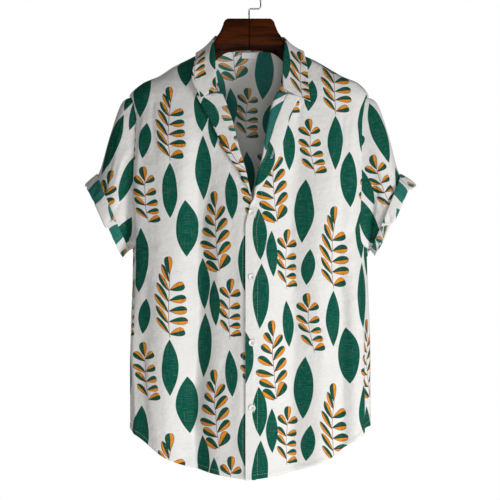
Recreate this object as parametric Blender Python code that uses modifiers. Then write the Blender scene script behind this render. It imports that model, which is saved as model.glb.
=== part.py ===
"""A short-sleeved leaf-print shirt hanging on a shaped wooden hanger.

Blender 4.5. The script works in millimetres in its tables and in metres in its meshes, +Z up.
The origin is the inside top of the hanger's hook, where a rail holds it. The front faces -Y,
so the wearer's right side is at -X and the wearer's left side at +X.
"""

import math

import bmesh
import bpy
from mathutils import Vector

MM = 0.001

# Cloth
CLOTH = 1.2  # wall of every cloth piece
SEAM_HALF_GAP = 0.35  # each panel stops this far from the seam's own plane
FRONT_LAP = 1.3  # the left front lies this far out, the right front this far in
SECTION_POWER = 2.2  # 2 is an ellipse, more is squarer

# Grid sizes of the cloth panels
FRONT_COLUMNS, FLAP_COLUMNS, BACK_COLUMNS = 12, 4, 20
EDGE_CROWDING = 1.2  # columns of a front stand closer together towards its edge
LOWER_ROWS = 15
# Rows from the underarm (0) to the shoulder and neck (1), closer together where the V begins
UPPER_SHARES = (0, 0.085, 0.165, 0.205, 0.245, 0.285, 0.325, 0.4, 0.5, 0.6, 0.7, 0.795, 0.9, 1)
UPPER_ROWS = len(UPPER_SHARES) - 1
SLEEVE_ROWS, CUFF_ROWS, COLLAR_STEP = 5, 2, 5

# Heights that the panels share
UNDERARM_Z, SHOULDER_Z, NECK_Z = -447.0, -190.0, -115.0
BACK_NECK_Z = -112.0

# The hung body, one row a level.
# columns: height, half width at -X, half width at +X, depth of front, depth of back
BODY_LEVELS = (
    (-870, 199, 203, 82, 78),
    (-750, 201, 206, 84, 80),
    (-600, 201, 205, 88, 84),
    (-505, 198, 202, 90, 84),
    (-447, 197, 200, 90, 82),
    (-357, 201, 203, 86, 76),
    (-274, 204, 205, 75, 66),
    (-226, 205, 206, 62, 56),
    (-190, 203, 203, 50, 46),
    (-168, 181, 186, 42, 40),
    (-155, 152, 157, 37, 36),
    (-141, 131, 133, 31, 32),
    (-127, 103, 108, 25, 28),
    (-120, 89, 91, 22, 26),
    (-115, 77, 78, 19, 25),
    (-105, 60, 60, 14, 22),
)

# The curved hem. columns: share of the half width, drop below the side seam's end
HEM_SIDE_Z = -748.0
HEM_DROPS = ((0.0, 87), (0.25, 80), (0.5, 68), (0.68, 53), (0.83, 29), (0.93, 11), (1.0, 0))

# Armhole seam. columns: turn from underarm (0) to shoulder tip (180), share of the half width
ARMHOLE = (
    (0, 1.0),
    (15, 0.965),
    (30, 0.94),
    (50, 0.93),
    (90, 0.935),
    (130, 0.93),
    (150, 0.95),
    (168, 0.98),
    (180, 1.0),
)

# Free edge or roll line of each front, with the flap beyond it.
# columns: height, x of the line, width of the flap, turn of the flap in degrees
RIGHT_FRONT_EDGE = (
    (-870, 3, 8, 0),
    (-392, 3, 8, 0),
    (-379, 2.5, 5, 0),
    (-366, 1, 5, 0),
    (-352, -2, 6, 100),
    (-339, -4.5, 8, 180),
    (-318, -9, 11, 180),
    (-298, -14.5, 16, 180),
    (-270, -21.5, 22, 180),
    (-236, -30, 27, 180),
    (-210, -38.5, 32, 180),
    (-182, -49.5, 35, 180),
    (-165, -56, 35, 180),
    (-142, -62, 35, 180),
    (-124, -70, 35, 180),
    (-115, -77, 35, 180),
)
LEFT_FRONT_EDGE = (
    (-870, 2, 8, 0),
    (-392, 2, 8, 0),
    (-379, 4.5, 8, 0),
    (-366, 9, 8, 75),
    (-352, 12.5, 8.5, 180),
    (-339, 15, 13, 180),
    (-318, 18.5, 17, 180),
    (-296, 24.5, 21, 180),
    (-262, 30, 24, 180),
    (-235, 34.5, 26, 180),
    (-210, 40, 29, 180),
    (-182, 51, 31, 180),
    (-165, 57, 31, 180),
    (-142, 63, 31, 180),
    (-124, 71, 31, 180),
    (-115, 78, 31, 180),
)
LAPEL_TOP_Z = -182.0  # the flap stops here, under the collar's end
FLAP_RADIUS = 2.6  # of the roll

# Largest hanging folds of the body. A positive depth stands out, a negative one sinks in.
# columns: angle round the body (0 is the middle of the front), half width in degrees,
#          top height, bottom height, depth
BODY_FOLDS = (
    (-74, 6, -520, -900, 5),
    (-60, 7, -420, -900, -3),
    (-45, 7, -330, -900, 3),
    (-29, 7, -440, -900, -6),
    (-14, 5, -330, -900, 2),
    (15, 5, -420, -900, -5),
    (30, 7, -300, -900, 1),
    (46, 7, -380, -900, -7),
    (62, 7, -430, -900, 6),
    (76, 5, -520, -900, -5),
    (102, 7, -480, -900, 6),
    (119, 8, -360, -900, -7),
    (137, 8, -250, -900, 6),
    (156, 8, -330, -900, -6),
    (175, 9, -220, -900, 7),
    (195, 8, -300, -900, -6),
    (214, 8, -260, -900, 7),
    (233, 8, -350, -900, -7),
    (250, 7, -440, -900, 6),
)
FOLD_FADE = 130.0  # a fold grows to its full depth over this height

# Falls of the cloth, each with a steep side and a slack one. They are measured round the body
# from the middle of the front, + towards the wearer's left.
# columns: place round the body at the top, top height, place at the hem, depth,
#          width towards the wearer's right, width towards the wearer's left
FALLS = (
    (-68, -250, -78, -25.0, 13, 42),
    (-5, -400, -5, 6.0, 12, 26),
    (58, -225, 62, -25.0, 26, 36),
    (-190, -260, -192, 13.0, 14, 46),
    (146, -330, 150, -4.5, 14, 10),
    (-400, -330, -410, -8.0, 20, 22),
    (395, -300, 390, -8.0, 20, 18),
    (-300, -380, -292, -6.0, 16, 20),
    (290, -350, 300, -6.5, 16, 20),
    (500, -300, 510, -6.0, 20, 20),
)
FALL_SHARPNESS = 1.6  # more is a narrower fall between its widths
FALL_LEAD, FALL_FADE = 60.0, 190.0  # a fall starts this far above its top, and grows over this
FALL_HEM_Z = -850.0
WANDER, WANDER_HEIGHT = 3.0, 47.0  # a fall sways by this, over this height
ROUND_A_DEGREE = 2.9  # cloth round the body for each degree
HALF_ROUND = 180 * ROUND_A_DEGREE

# Sleeve rings after the armhole, seen from the front, on the wearer's right (-X).
# columns: top x, top z, bottom x, bottom z, half depth
SLEEVE_RINGS_RIGHT = (
    (-217, -203, -201, -449, 37),
    (-236, -257, -202, -450, 42),
    (-253.5, -317, -205, -447, 45),
    (-270, -340, -214, -454, 45),
)
SLEEVE_RINGS_LEFT = (
    (218, -203, 204, -449, 37),
    (237, -257, 205, -450, 42),
    (253.5, -317, 208, -447, 45),
    (272, -340, 218, -454, 45),
)
CUFF_RINGS_RIGHT = (
    (-258, -321, -203, -450, 49.5),
    (-266, -328, -208, -455, 50),
    (-275, -337, -213, -460, 50),
)
CUFF_RINGS_LEFT = (
    (258, -321, 206, -450, 49.5),
    (268, -328, 211, -455, 50),
    (278, -337, 217, -460, 50),
)
ARMHOLE_GAP = 1.3  # the sleeve's first ring stands this far out from the armhole

# Collar, from the front end round to the back. The seam is at the neck, the roll is the fold
# at the top, the edge is the leaf's free edge.
# columns: seam x, y, z, roll x, y, z, edge x, y, z
COLLAR_RIGHT = (
    (-53.0, -41, -168, -56.0, -51, -179, -81.5, -61, -194),
    (-57.0, -32, -148, -57.0, -40, -146, -96.5, -46, -161),
    (-64.0, -20, -129, -58.5, -25, -116, -93.5, -35, -139),
    (-73.0, -8, -116, -61.0, -10, -99, -91.0, -19, -125),
    (-75.0, 4, -111, -61.5, 4, -91, -89.5, 0, -115),
    (-60.0, 19, -108, -53.0, 24, -86, -72.0, 35, -120),
    (-32.0, 23, -108, -29.0, 31, -85, -38.0, 39, -126),
)
COLLAR_BACK = (0.0, 24, -108, 0.0, 33, -85, 0.0, 42, -128)
COLLAR_LEFT = (
    (54.0, -42, -168, 58.0, -55, -178, 103.0, -64, -201),
    (58.0, -32, -148, 57.5, -40, -146, 100.0, -47, -172),
    (65.0, -20, -129, 59.0, -25, -118, 98.5, -37, -143),
    (74.0, -8, -116, 62.0, -10, -101, 96.0, -20, -128),
    (76.0, 4, -111, 63.5, 4, -93, 91.5, 0, -112),
    (61.0, 19, -108, 55.5, 24, -87, 73.0, 35, -118),
    (33.0, 23, -108, 30.0, 31, -85, 39.0, 39, -126),
)
COLLAR_BOW = 2.0  # the leaf's crown between roll and edge

# Label at the back of the neck
LABEL_WIDTH, LABEL_HEIGHT, LABEL_WALL, LABEL_TOP_Z, LABEL_GAP = 25.0, 10.0, 0.6, -113.5, 1.0

# Buttons. columns: x, z
BUTTON_PLACES = ((4.5, -388), (4.5, -496), (5.0, -605), (5.0, -714))
BUTTON_RADIUS, BUTTON_THICK, BUTTON_DISH, BUTTON_RIM = 5.75, 2.4, 0.7, 1.3
BUTTON_GAP, BUTTON_STEPS = 0.5, 28

# Hanger. columns: distance from the middle, top height, bottom height, thickness,
#                  squareness of the section (2 is an ellipse)
HANGER_SECTIONS = (
    (0.2, -57.0, -111.5, 19, 3.6),
    (18, -57.0, -112.0, 19, 3.6),
    (34, -57.0, -114.5, 19, 3.6),
    (39, -58.5, -116.0, 19, 3.6),
    (42.5, -62.5, -117.5, 19, 3.6),
    (45.5, -71.0, -119.5, 19, 3.6),
    (49.5, -80.0, -122.5, 19, 3.6),
    (54.5, -87.5, -127.0, 19, 3.4),
    (58.5, -97.0, -131.5, 19, 3.0),
    (63, -109.0, -136.0, 19, 2.6),
    (70, -119.5, -142.5, 19, 2.2),
    (82, -126.0, -149.0, 20, 2.1),
    (95, -130.0, -154.5, 22, 2.0),
    (115, -141.0, -164.0, 24, 2.0),
    (135, -151.5, -174.0, 27, 2.0),
    (155, -164.5, -186.0, 29, 2.0),
    (175, -175.0, -198.0, 30, 2.0),
    (188, -185.0, -204.0, 28, 2.0),
    (193, -190.0, -203.0, 24, 2.0),
)
HANGER_SIDES = 16

# Hook wire, its centre line
WIRE_RADIUS = 1.4
HOOK_RADIUS = 19.5
STEM_FOOT_Z, JOG_Z, BEND_RADIUS = -56.6, -40.5, 3.2
TIP_ANGLE = 198.0  # from +X over the top
HOOK_STEPS, BEND_STEPS = 22, 4

FINISHES = {
    # name: colour, roughness, metallic
    "printed_cloth": ((0.76, 0.75, 0.72, 1.0), 0.85, 0.0),
    "cloth_reverse": ((0.70, 0.72, 0.69, 1.0), 0.88, 0.0),
    "label_cloth": ((0.80, 0.80, 0.80, 1.0), 0.8, 0.0),
    "button_white": ((0.83, 0.83, 0.80, 1.0), 0.25, 0.0),
    "dark_wood": ((0.075, 0.028, 0.016, 1.0), 0.35, 0.0),
    "hook_steel": ((0.55, 0.55, 0.56, 1.0), 0.3, 1.0),
}


# ------------------------------------------------------------------ smooth tables


def read(rows, at):
    """The other columns of a table at a value of its first column, on a smooth curve."""
    if rows[0][0] > rows[-1][0]:
        rows = rows[::-1]
    at = min(max(at, rows[0][0]), rows[-1][0])
    k = max(i for i in range(len(rows) - 1) if rows[i][0] <= at)
    low, high = rows[k], rows[k + 1]
    span = high[0] - low[0]
    u = (at - low[0]) / span
    found = []
    for c in range(1, len(low)):
        slope = (high[c] - low[c]) / span
        before = (low[c] - rows[k - 1][c]) / (low[0] - rows[k - 1][0]) if k else slope
        last = k + 2 == len(rows)
        after = slope if last else (rows[k + 2][c] - high[c]) / (rows[k + 2][0] - high[0])
        start = 0.0 if before * slope <= 0 else 2 * before * slope / (before + slope)
        end = 0.0 if after * slope <= 0 else 2 * after * slope / (after + slope)
        found.append(
            low[c] * (1 + 2 * u) * (1 - u) ** 2
            + high[c] * u * u * (3 - 2 * u)
            + start * span * u * (1 - u) ** 2
            + end * span * u * u * (u - 1)
        )
    return found


def ease(u):
    """0 to 1 with level ends."""
    u = min(max(u, 0.0), 1.0)
    return u * u * (3 - 2 * u)


# ------------------------------------------------------------------ the hung body


def fall_depth(degrees, z):
    """How far the falls move the skin out at this angle and height."""
    moved = 0.0
    for top_x, top_z, low_x, depth, right, left in FALLS:
        down = min(max((top_z - z) / (top_z - FALL_HEM_Z), 0.0), 1.0)
        middle = top_x + (low_x - top_x) * down + WANDER * math.sin(z / WANDER_HEIGHT + top_x)
        off = (degrees * ROUND_A_DEGREE - middle + HALF_ROUND) % (2 * HALF_ROUND) - HALF_ROUND
        width = right if off < 0 else left
        across = math.exp(1 - math.sqrt(1 + (FALL_SHARPNESS * off / width) ** 2))
        moved += depth * across * ease((top_z + FALL_LEAD - z) / FALL_FADE)
    return moved


def body_fold(degrees, z):
    """How far the folds move the cloth out at this angle and height."""
    moved = 0.0
    for centre, half, top, bottom, depth in BODY_FOLDS:
        off = (degrees % 360.0 - centre % 360.0 + 180.0) % 360.0 - 180.0
        across = max(0.0, 1 - (off / (2 * half)) ** 2) ** 2
        moved += depth * across * ease((top - z) / FOLD_FADE) * ease((z - bottom) / 20.0)
    return moved + fall_depth(degrees, z)


def body_point(degrees, z, out=0.0):
    """A point of the body's skin. 0 degrees is the middle of the front, 90 the wearer's left."""
    right, left, front, back = read(BODY_LEVELS, z)
    a = math.radians(degrees)
    sine, cosine = math.sin(a), math.cos(a)
    wide = left if sine > 0 else right
    deep = front if cosine > 0 else back
    bend = 2 / SECTION_POWER
    x = wide * math.copysign(abs(sine) ** bend, sine)
    y = -deep * math.copysign(abs(cosine) ** bend, cosine)
    normal = Vector((x / wide**2, y / deep**2, 0))
    normal = normal.normalized() if normal.length > 0 else Vector((0, -1, 0))
    return Vector((x, y, z)) + normal * (out + body_fold(degrees, z))


def body_angle(x, z):
    """The angle at which the front's skin has this x."""
    right, left, _, _ = read(BODY_LEVELS, z)
    share = min(abs(x) / (left if x > 0 else right), 1.0)
    return math.copysign(math.degrees(math.asin(share ** (SECTION_POWER / 2))), x)


def armhole_turn(t):
    """(angle from the front's middle, height) along the front half of an armhole."""
    z = (UNDERARM_Z + SHOULDER_Z) / 2 - (SHOULDER_Z - UNDERARM_Z) / 2 * math.cos(math.pi * t)
    share = read(ARMHOLE, 180.0 * t)[0]
    return math.degrees(math.asin(min(1.0, share ** (SECTION_POWER / 2)))), z


def hem_height(degrees):
    share = abs(math.sin(math.radians(degrees))) ** (2 / SECTION_POWER)
    return HEM_SIDE_Z - read(HEM_DROPS, share)[0]


def blend(left, right, low, high, p, t, corners):
    """Coons patch in (angle, height)."""
    ll, rl, lh, rh = corners
    return [
        (1 - p) * left[i] + p * right[i] + (1 - t) * low[i] + t * high[i]
        - (1 - p) * (1 - t) * ll[i] - p * (1 - t) * rl[i]
        - (1 - p) * t * lh[i] - p * t * rh[i]
        for i in (0, 1)
    ]


# ------------------------------------------------------------------ fronts


class Front:
    """One front panel. side is -1 for the wearer's right and 1 for the wearer's left."""

    def __init__(self, side, edge, lap):
        self.side, self.edge, self.lap = side, edge, lap

    def line(self, z):
        """(angle, height) on the free edge or roll line."""
        return body_angle(read(self.edge, z)[0], z), z

    def place(self, p, row):
        """(angle, height) at p from side seam to roll line, at a row counted from the hem."""
        outer = 90.0 * self.side
        if row <= LOWER_ROWS:
            top = self.line(UNDERARM_Z)[0]
            angle = outer + (top - outer) * p
            low = hem_height(angle)
            z = low + (UNDERARM_Z - low) * row / LOWER_ROWS
            return outer + (self.line(z)[0] - outer) * p, z
        t = UPPER_SHARES[row - LOWER_ROWS]
        arm, arm_z = armhole_turn(t)
        inner_z = UNDERARM_Z + (NECK_Z - UNDERARM_Z) * t
        inner, start = self.line(inner_z), self.line(UNDERARM_Z)
        low = (outer + (start[0] - outer) * p, UNDERARM_Z)
        high = (outer, SHOULDER_Z + (NECK_Z - SHOULDER_Z) * p)
        corners = (outer, UNDERARM_Z), start, (outer, SHOULDER_Z), (outer, NECK_Z)
        return blend((arm * self.side, arm_z), inner, low, high, p, t, corners)

    def point(self, p, row, out=0.0):
        angle, z = self.place(p, row)
        lap = self.lap * (1 - ease((abs(angle) - 12) / 22))
        found = body_point(angle, z, lap + out)
        found.y = min(found.y, -SEAM_HALF_GAP)
        return found

    def flap(self, share, row):
        """A point of the flap, at this share of its width from the roll line."""
        z = self.place(1.0, row)[1]
        _, width, turn = read(self.edge, z)
        turn = math.radians(min(max(turn, 0.0), 180.0))
        along, bent = share * width, FLAP_RADIUS * turn
        if along < bent:
            a = along / FLAP_RADIUS
            forward, height = FLAP_RADIUS * math.sin(a), FLAP_RADIUS * (1 - math.cos(a))
        else:
            rest = along - bent
            forward = FLAP_RADIUS * math.sin(turn) + rest * math.cos(turn)
            height = FLAP_RADIUS * (1 - math.cos(turn)) + rest * math.sin(turn)
        across = (self.point(1.0, row) - self.point(0.0, row)).length
        if forward < 0:
            return self.point(1.0 + forward / across, row, height)
        tip, behind = self.point(1.0, row, height), self.point(0.98, row, height)
        return tip + (tip - behind).normalized() * forward


FRONT_RIGHT = Front(-1, RIGHT_FRONT_EDGE, -FRONT_LAP)
FRONT_LEFT = Front(1, LEFT_FRONT_EDGE, FRONT_LAP)


# ------------------------------------------------------------------ back, sleeves, collar


def back_place(p, row):
    """(angle, height) on the back, p from the wearer's left side seam to the right one."""
    if row <= LOWER_ROWS:
        angle = 90.0 + 180.0 * p
        low = hem_height(angle)
        return angle, low + (UNDERARM_Z - low) * row / LOWER_ROWS
    t = UPPER_SHARES[row - LOWER_ROWS]
    arm, z = armhole_turn(t)
    shoulder = 0.3  # share of the top edge that each shoulder seam takes
    if p < shoulder:
        high = (90.0, SHOULDER_Z + (NECK_Z - SHOULDER_Z) * p / shoulder)
    elif p > 1 - shoulder:
        high = (270.0, SHOULDER_Z + (NECK_Z - SHOULDER_Z) * (1 - p) / shoulder)
    else:
        u = (p - shoulder) / (1 - 2 * shoulder)
        high = (90.0 + 180.0 * u, NECK_Z + (BACK_NECK_Z - NECK_Z) * math.sin(math.pi * u))
    corners = (90.0, UNDERARM_Z), (270.0, UNDERARM_Z), (90.0, SHOULDER_Z), (270.0, SHOULDER_Z)
    left, right = (180.0 - arm, z), (180.0 + arm, z)
    return blend(left, right, (90.0 + 180.0 * p, UNDERARM_Z), high, p, t, corners)


def back_point(p, row, out=0.0):
    found = body_point(*back_place(p, row), out)
    found.y = max(found.y, SEAM_HALF_GAP)
    return found


def ring_point(ring, degrees):
    """A point of a sleeve ring, 0 at its top, 90 at the front, 180 at the underside."""
    top_x, top_z, low_x, low_z, depth = ring
    a = math.radians(degrees)
    u, v = math.cos(a), math.sin(a)
    middle = Vector(((top_x + low_x) / 2, 0, (top_z + low_z) / 2))
    half = Vector(((top_x - low_x) / 2, 0, (top_z - low_z) / 2))
    return middle + half * u + Vector((0, -depth * v, 0))


def armhole_ring_point(side, degrees):
    front = degrees % 360.0 <= 180.0
    turn = degrees % 360.0 if front else 360.0 - degrees % 360.0
    arm, z = armhole_turn(1 - turn / 180.0)
    found = body_point(side * (arm if front else 180.0 - arm), z)
    return found + Vector((side * ARMHOLE_GAP, 0, 0))


def sleeve_point(side, rings, degrees, along):
    """A point of a sleeve, along from 0 at the armhole to 1 at its folded end."""
    stations = [armhole_ring_point(side, degrees)] + [ring_point(r, degrees) for r in rings]
    table = [(i / len(rings), *found) for i, found in enumerate(stations)]
    return Vector(read(table, along))


def cuff_point(rings, degrees, along):
    table = [(i / (len(rings) - 1), *ring_point(r, degrees)) for i, r in enumerate(rings)]
    return Vector(read(table, along))


def collar_station(u):
    """One cross row of the collar, u from 0 at the right end to 1 at the left end."""
    rows = COLLAR_RIGHT + (COLLAR_BACK,) + COLLAR_LEFT[::-1]
    return read([(i / (len(rows) - 1), *row) for i, row in enumerate(rows)], u)


def collar_point(u, share):
    """share goes from 0 at the neck seam over the roll at 0.4 to 1 at the free edge."""
    row = collar_station(u)
    seam, roll, edge = Vector(row[0:3]), Vector(row[3:6]), Vector(row[6:9])
    if share <= 0.4:
        return seam.lerp(roll, share / 0.4)
    v = (share - 0.4) / 0.6
    outward = (edge - seam).cross(collar_run(u)).normalized()
    return roll.lerp(edge, v) + outward * COLLAR_BOW * math.sin(math.pi * v)


def collar_run(u):
    step = 0.01
    low, high = collar_station(max(0.0, u - step)), collar_station(min(1.0, u + step))
    return Vector(high[6:9]) - Vector(low[6:9])


# ------------------------------------------------------------------ making objects


def add_object(name, mesh, finish, parts):
    colour, rough, metal = FINISHES[finish]
    material = bpy.data.materials.get(finish) or bpy.data.materials.new(finish)
    material.use_nodes = True
    shader = material.node_tree.nodes["Principled BSDF"]
    shader.inputs["Base Color"].default_value = colour
    shader.inputs["Roughness"].default_value = rough
    shader.inputs["Metallic"].default_value = metal
    piece = bpy.data.objects.new(name, mesh)
    piece.data.materials.append(material)
    parts.objects.link(piece)
    return piece


def add_rows(work, rows, closed):
    """Faces between neighbouring rows of points. Returns the rows' vertices."""
    made = [[work.verts.new(p * MM) for p in row] for row in rows]
    join_rows(work, made, closed)
    return made


def join_rows(work, made, closed):
    for low, high in zip(made, made[1:]):
        count = len(low) if closed else len(low) - 1
        for i in range(count):
            j = (i + 1) % len(low)
            work.faces.new((low[i], low[j], high[j], high[i]))


def finish_mesh(work, name):
    bmesh.ops.recalc_face_normals(work, faces=work.faces)
    mesh = bpy.data.meshes.new(name)
    work.to_mesh(mesh)
    work.free()
    mesh.shade_smooth()
    return mesh


def add_wall(piece, wall):
    solid = piece.modifiers.new("cloth wall", "SOLIDIFY")
    solid.thickness = wall * MM
    solid.offset = 0
    solid.use_even_offset = True
    return piece


def add_front(name, front, parts):
    """The panel, with the flap joined on at its roll line up to the top of the lapel."""
    work = bmesh.new()
    rows = range(LOWER_ROWS + UPPER_ROWS + 1)
    columns = [1 - (1 - i / FRONT_COLUMNS) ** EDGE_CROWDING for i in range(FRONT_COLUMNS + 1)]
    panel = add_rows(work, [[front.point(p, row) for p in columns] for row in rows], False)
    flap = []
    for row in rows:
        if front.place(1.0, row)[1] > LAPEL_TOP_Z:
            break
        shares = [(i + 1) / FLAP_COLUMNS for i in range(FLAP_COLUMNS)]
        new = [work.verts.new(front.flap(share, row) * MM) for share in shares]
        flap.append([panel[row][-1]] + new)
    join_rows(work, flap, False)
    return add_wall(add_object(name, finish_mesh(work, name), "printed_cloth", parts), CLOTH)


def add_back(parts):
    work = bmesh.new()
    columns = [i / BACK_COLUMNS for i in range(BACK_COLUMNS + 1)]
    rows = range(LOWER_ROWS + UPPER_ROWS + 1)
    add_rows(work, [[back_point(p, row) for p in columns] for row in rows], False)
    return add_wall(add_object("back", finish_mesh(work, "back"), "printed_cloth", parts), CLOTH)


def add_tube(name, point, steps, finish, parts):
    """A tube of cloth open at both ends, from point(degrees, along)."""
    work = bmesh.new()
    front = [180.0 * (1 - t) for t in UPPER_SHARES[::-1]]
    turns = front + [360.0 - a for a in front[-2:0:-1]]
    add_rows(work, [[point(a, k / steps) for a in turns] for k in range(steps + 1)], True)
    return add_wall(add_object(name, finish_mesh(work, name), finish, parts), CLOTH)


def add_collar(parts):
    work = bmesh.new()
    across = [i / COLLAR_STEP for i in range(COLLAR_STEP + 1)]
    count = 3 * (len(COLLAR_RIGHT) + len(COLLAR_LEFT))
    rows = [[collar_point(k / count, share) for share in across] for k in range(count + 1)]
    add_rows(work, rows, False)
    return add_wall(add_object("collar", finish_mesh(work, "collar"), "printed_cloth", parts), CLOTH)


def add_label(parts):
    """A blank tab that hangs inside the back, just under the neck seam."""
    work = bmesh.new()
    rows = []
    inward = -(CLOTH / 2 + LABEL_GAP + LABEL_WALL / 2)
    for k in range(3):
        row = []
        for i in range(7):
            x = LABEL_WIDTH * (i / 6 - 0.5)
            y = body_point(180.0 - body_angle(x, LABEL_TOP_Z), LABEL_TOP_Z, inward).y
            row.append(Vector((x, y, LABEL_TOP_Z - LABEL_HEIGHT * k / 2)))
        rows.append(row)
    add_rows(work, rows, False)
    return add_wall(
        add_object("label", finish_mesh(work, "label"), "label_cloth", parts), LABEL_WALL
    )


def add_button(name, x, z, parts):
    """A turned disc with a dished face, lying on the left front."""
    angle = body_angle(x, z)
    skin = body_point(angle, z, FRONT_LAP)
    turn = BUTTON_RADIUS / ROUND_A_DEGREE
    across = body_point(angle + turn, z, FRONT_LAP) - body_point(angle - turn, z, FRONT_LAP)
    along = body_point(angle, z + BUTTON_RADIUS, FRONT_LAP) - skin
    outward = across.cross(along).normalized()
    foot = CLOTH / 2 + BUTTON_GAP
    profile = (
        (0.0, foot + BUTTON_THICK - BUTTON_DISH),
        (BUTTON_RADIUS - 1.8 * BUTTON_RIM, foot + BUTTON_THICK - BUTTON_DISH),
        (BUTTON_RADIUS - BUTTON_RIM, foot + BUTTON_THICK),
        (BUTTON_RADIUS - 0.5, foot + BUTTON_THICK - 0.15),
        (BUTTON_RADIUS, foot + BUTTON_THICK * 0.6),
        (BUTTON_RADIUS - 0.8, foot),
        (0.0, foot),
    )
    work = bmesh.new()
    line = [work.verts.new(Vector((r, 0, h)) * MM) for r, h in profile]
    edges = [work.edges.new(pair) for pair in zip(line, line[1:])]
    bmesh.ops.spin(
        work,
        geom=line + edges,
        cent=(0, 0, 0),
        axis=(0, 0, 1),
        angle=2 * math.pi,
        steps=BUTTON_STEPS,
        use_merge=True,
    )
    bmesh.ops.remove_doubles(work, verts=work.verts, dist=0.00001)
    piece = add_object(name, finish_mesh(work, name), "button_white", parts)
    piece.location = skin * MM
    piece.rotation_euler = outward.to_track_quat("Z", "Y").to_euler()
    return piece


def add_hanger_half(name, side, parts):
    """One shaped half, lofted from the glued middle joint out to the shoulder."""
    work = bmesh.new()
    rings = []
    for x, top, bottom, thick, power in HANGER_SECTIONS:
        ring = []
        for i in range(HANGER_SIDES):
            a = 2 * math.pi * (i + 0.5) / HANGER_SIDES
            u = math.copysign(abs(math.cos(a)) ** (2 / power), math.cos(a))
            v = math.copysign(abs(math.sin(a)) ** (2 / power), math.sin(a))
            z = (top + bottom) / 2 + (top - bottom) / 2 * v
            ring.append(Vector((side * x, thick / 2 * u, z)))
        rings.append(ring)
    made = add_rows(work, rings, True)
    work.faces.new(made[0])
    work.faces.new(made[-1])
    bmesh.ops.triangulate(work, faces=work.faces)
    return add_object(name, finish_mesh(work, name), "dark_wood", parts)


def bend(centre, start, turn, steps):
    """Points on a quarter bend in the XZ plane. Angles in degrees from +X towards +Z."""
    found = []
    for k in range(steps + 1):
        a = math.radians(start + turn * k / steps)
        found.append(centre + Vector((math.cos(a), 0, math.sin(a))) * BEND_RADIUS)
    return found


def add_hook(parts):
    """A straight stem, a jog to one side and a round hook over the stem."""
    centre_z = WIRE_RADIUS - HOOK_RADIUS
    path = [Vector((0, 0, STEM_FOOT_Z)), Vector((0, 0, (STEM_FOOT_Z + JOG_Z) / 2))]
    path += bend(Vector((BEND_RADIUS, 0, JOG_Z - BEND_RADIUS)), 180, -90, BEND_STEPS)
    path += [Vector((HOOK_RADIUS / 2, 0, JOG_Z))]
    path += bend(Vector((HOOK_RADIUS - BEND_RADIUS, 0, JOG_Z + BEND_RADIUS)), -90, 90, BEND_STEPS)
    for k in range(HOOK_STEPS + 1):
        a = math.radians(TIP_ANGLE * k / HOOK_STEPS)
        path.append(Vector((HOOK_RADIUS * math.cos(a), 0, centre_z + HOOK_RADIUS * math.sin(a))))
    curve = bpy.data.curves.new("hook", "CURVE")
    curve.dimensions = "3D"
    curve.bevel_depth = WIRE_RADIUS * MM
    curve.bevel_resolution = 2
    curve.use_fill_caps = True
    spline = curve.splines.new("POLY")
    spline.points.add(len(path) - 1)
    for point, place in zip(spline.points, path):
        point.co = (*(place * MM), 1.0)
    return add_object("hook", curve, "hook_steel", parts)


# ------------------------------------------------------------------ the whole shirt

for old in list(bpy.data.objects):
    bpy.data.objects.remove(old, do_unlink=True)
PARTS = bpy.data.collections.new("leaf_print_shirt")
bpy.context.scene.collection.children.link(PARTS)

add_front("front_right", FRONT_RIGHT, PARTS)
add_front("front_left", FRONT_LEFT, PARTS)
add_back(PARTS)
for word, sign, sleeve_rings, cuff_rings in (
    ("right", -1, SLEEVE_RINGS_RIGHT, CUFF_RINGS_RIGHT),
    ("left", 1, SLEEVE_RINGS_LEFT, CUFF_RINGS_LEFT),
):
    add_tube(
        f"sleeve_{word}",
        lambda a, v, s=sign, r=sleeve_rings: sleeve_point(s, r, a, v),
        SLEEVE_ROWS,
        "printed_cloth",
        PARTS,
    )
    add_tube(
        f"cuff_{word}",
        lambda a, v, r=cuff_rings: cuff_point(r, a, v),
        CUFF_ROWS,
        "cloth_reverse",
        PARTS,
    )
add_collar(PARTS)
add_label(PARTS)
for number, (button_x, button_z) in enumerate(BUTTON_PLACES, 1):
    add_button(f"button_{number}", button_x, button_z, PARTS)
add_hanger_half("hanger_right", -1, PARTS)
add_hanger_half("hanger_left", 1, PARTS)
add_hook(PARTS)
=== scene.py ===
"""Looks of the leaf-print shirt on its wooden hanger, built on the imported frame."""

import math

import bmesh
import bpy
import numpy as np
from mathutils import Matrix, Vector


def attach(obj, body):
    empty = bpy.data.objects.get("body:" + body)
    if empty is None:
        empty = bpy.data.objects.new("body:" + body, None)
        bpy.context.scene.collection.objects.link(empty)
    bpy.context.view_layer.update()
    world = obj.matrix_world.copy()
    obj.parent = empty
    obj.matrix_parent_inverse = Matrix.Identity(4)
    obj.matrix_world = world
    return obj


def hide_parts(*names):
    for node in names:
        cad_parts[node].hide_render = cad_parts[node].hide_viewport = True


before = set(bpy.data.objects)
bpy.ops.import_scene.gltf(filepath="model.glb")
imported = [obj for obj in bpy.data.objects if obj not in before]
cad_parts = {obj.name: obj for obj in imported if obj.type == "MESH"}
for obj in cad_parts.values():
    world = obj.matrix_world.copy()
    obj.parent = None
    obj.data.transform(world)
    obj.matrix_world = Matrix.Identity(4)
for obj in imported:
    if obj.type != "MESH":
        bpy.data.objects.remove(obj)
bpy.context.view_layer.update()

# ------------------------ wooden hanger
# Two shaped halves of stained hardwood, glued at the middle. They are cut from one outline,
# rounded over, and lacquered. The grain runs along each arm.

MM = 0.001

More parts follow.
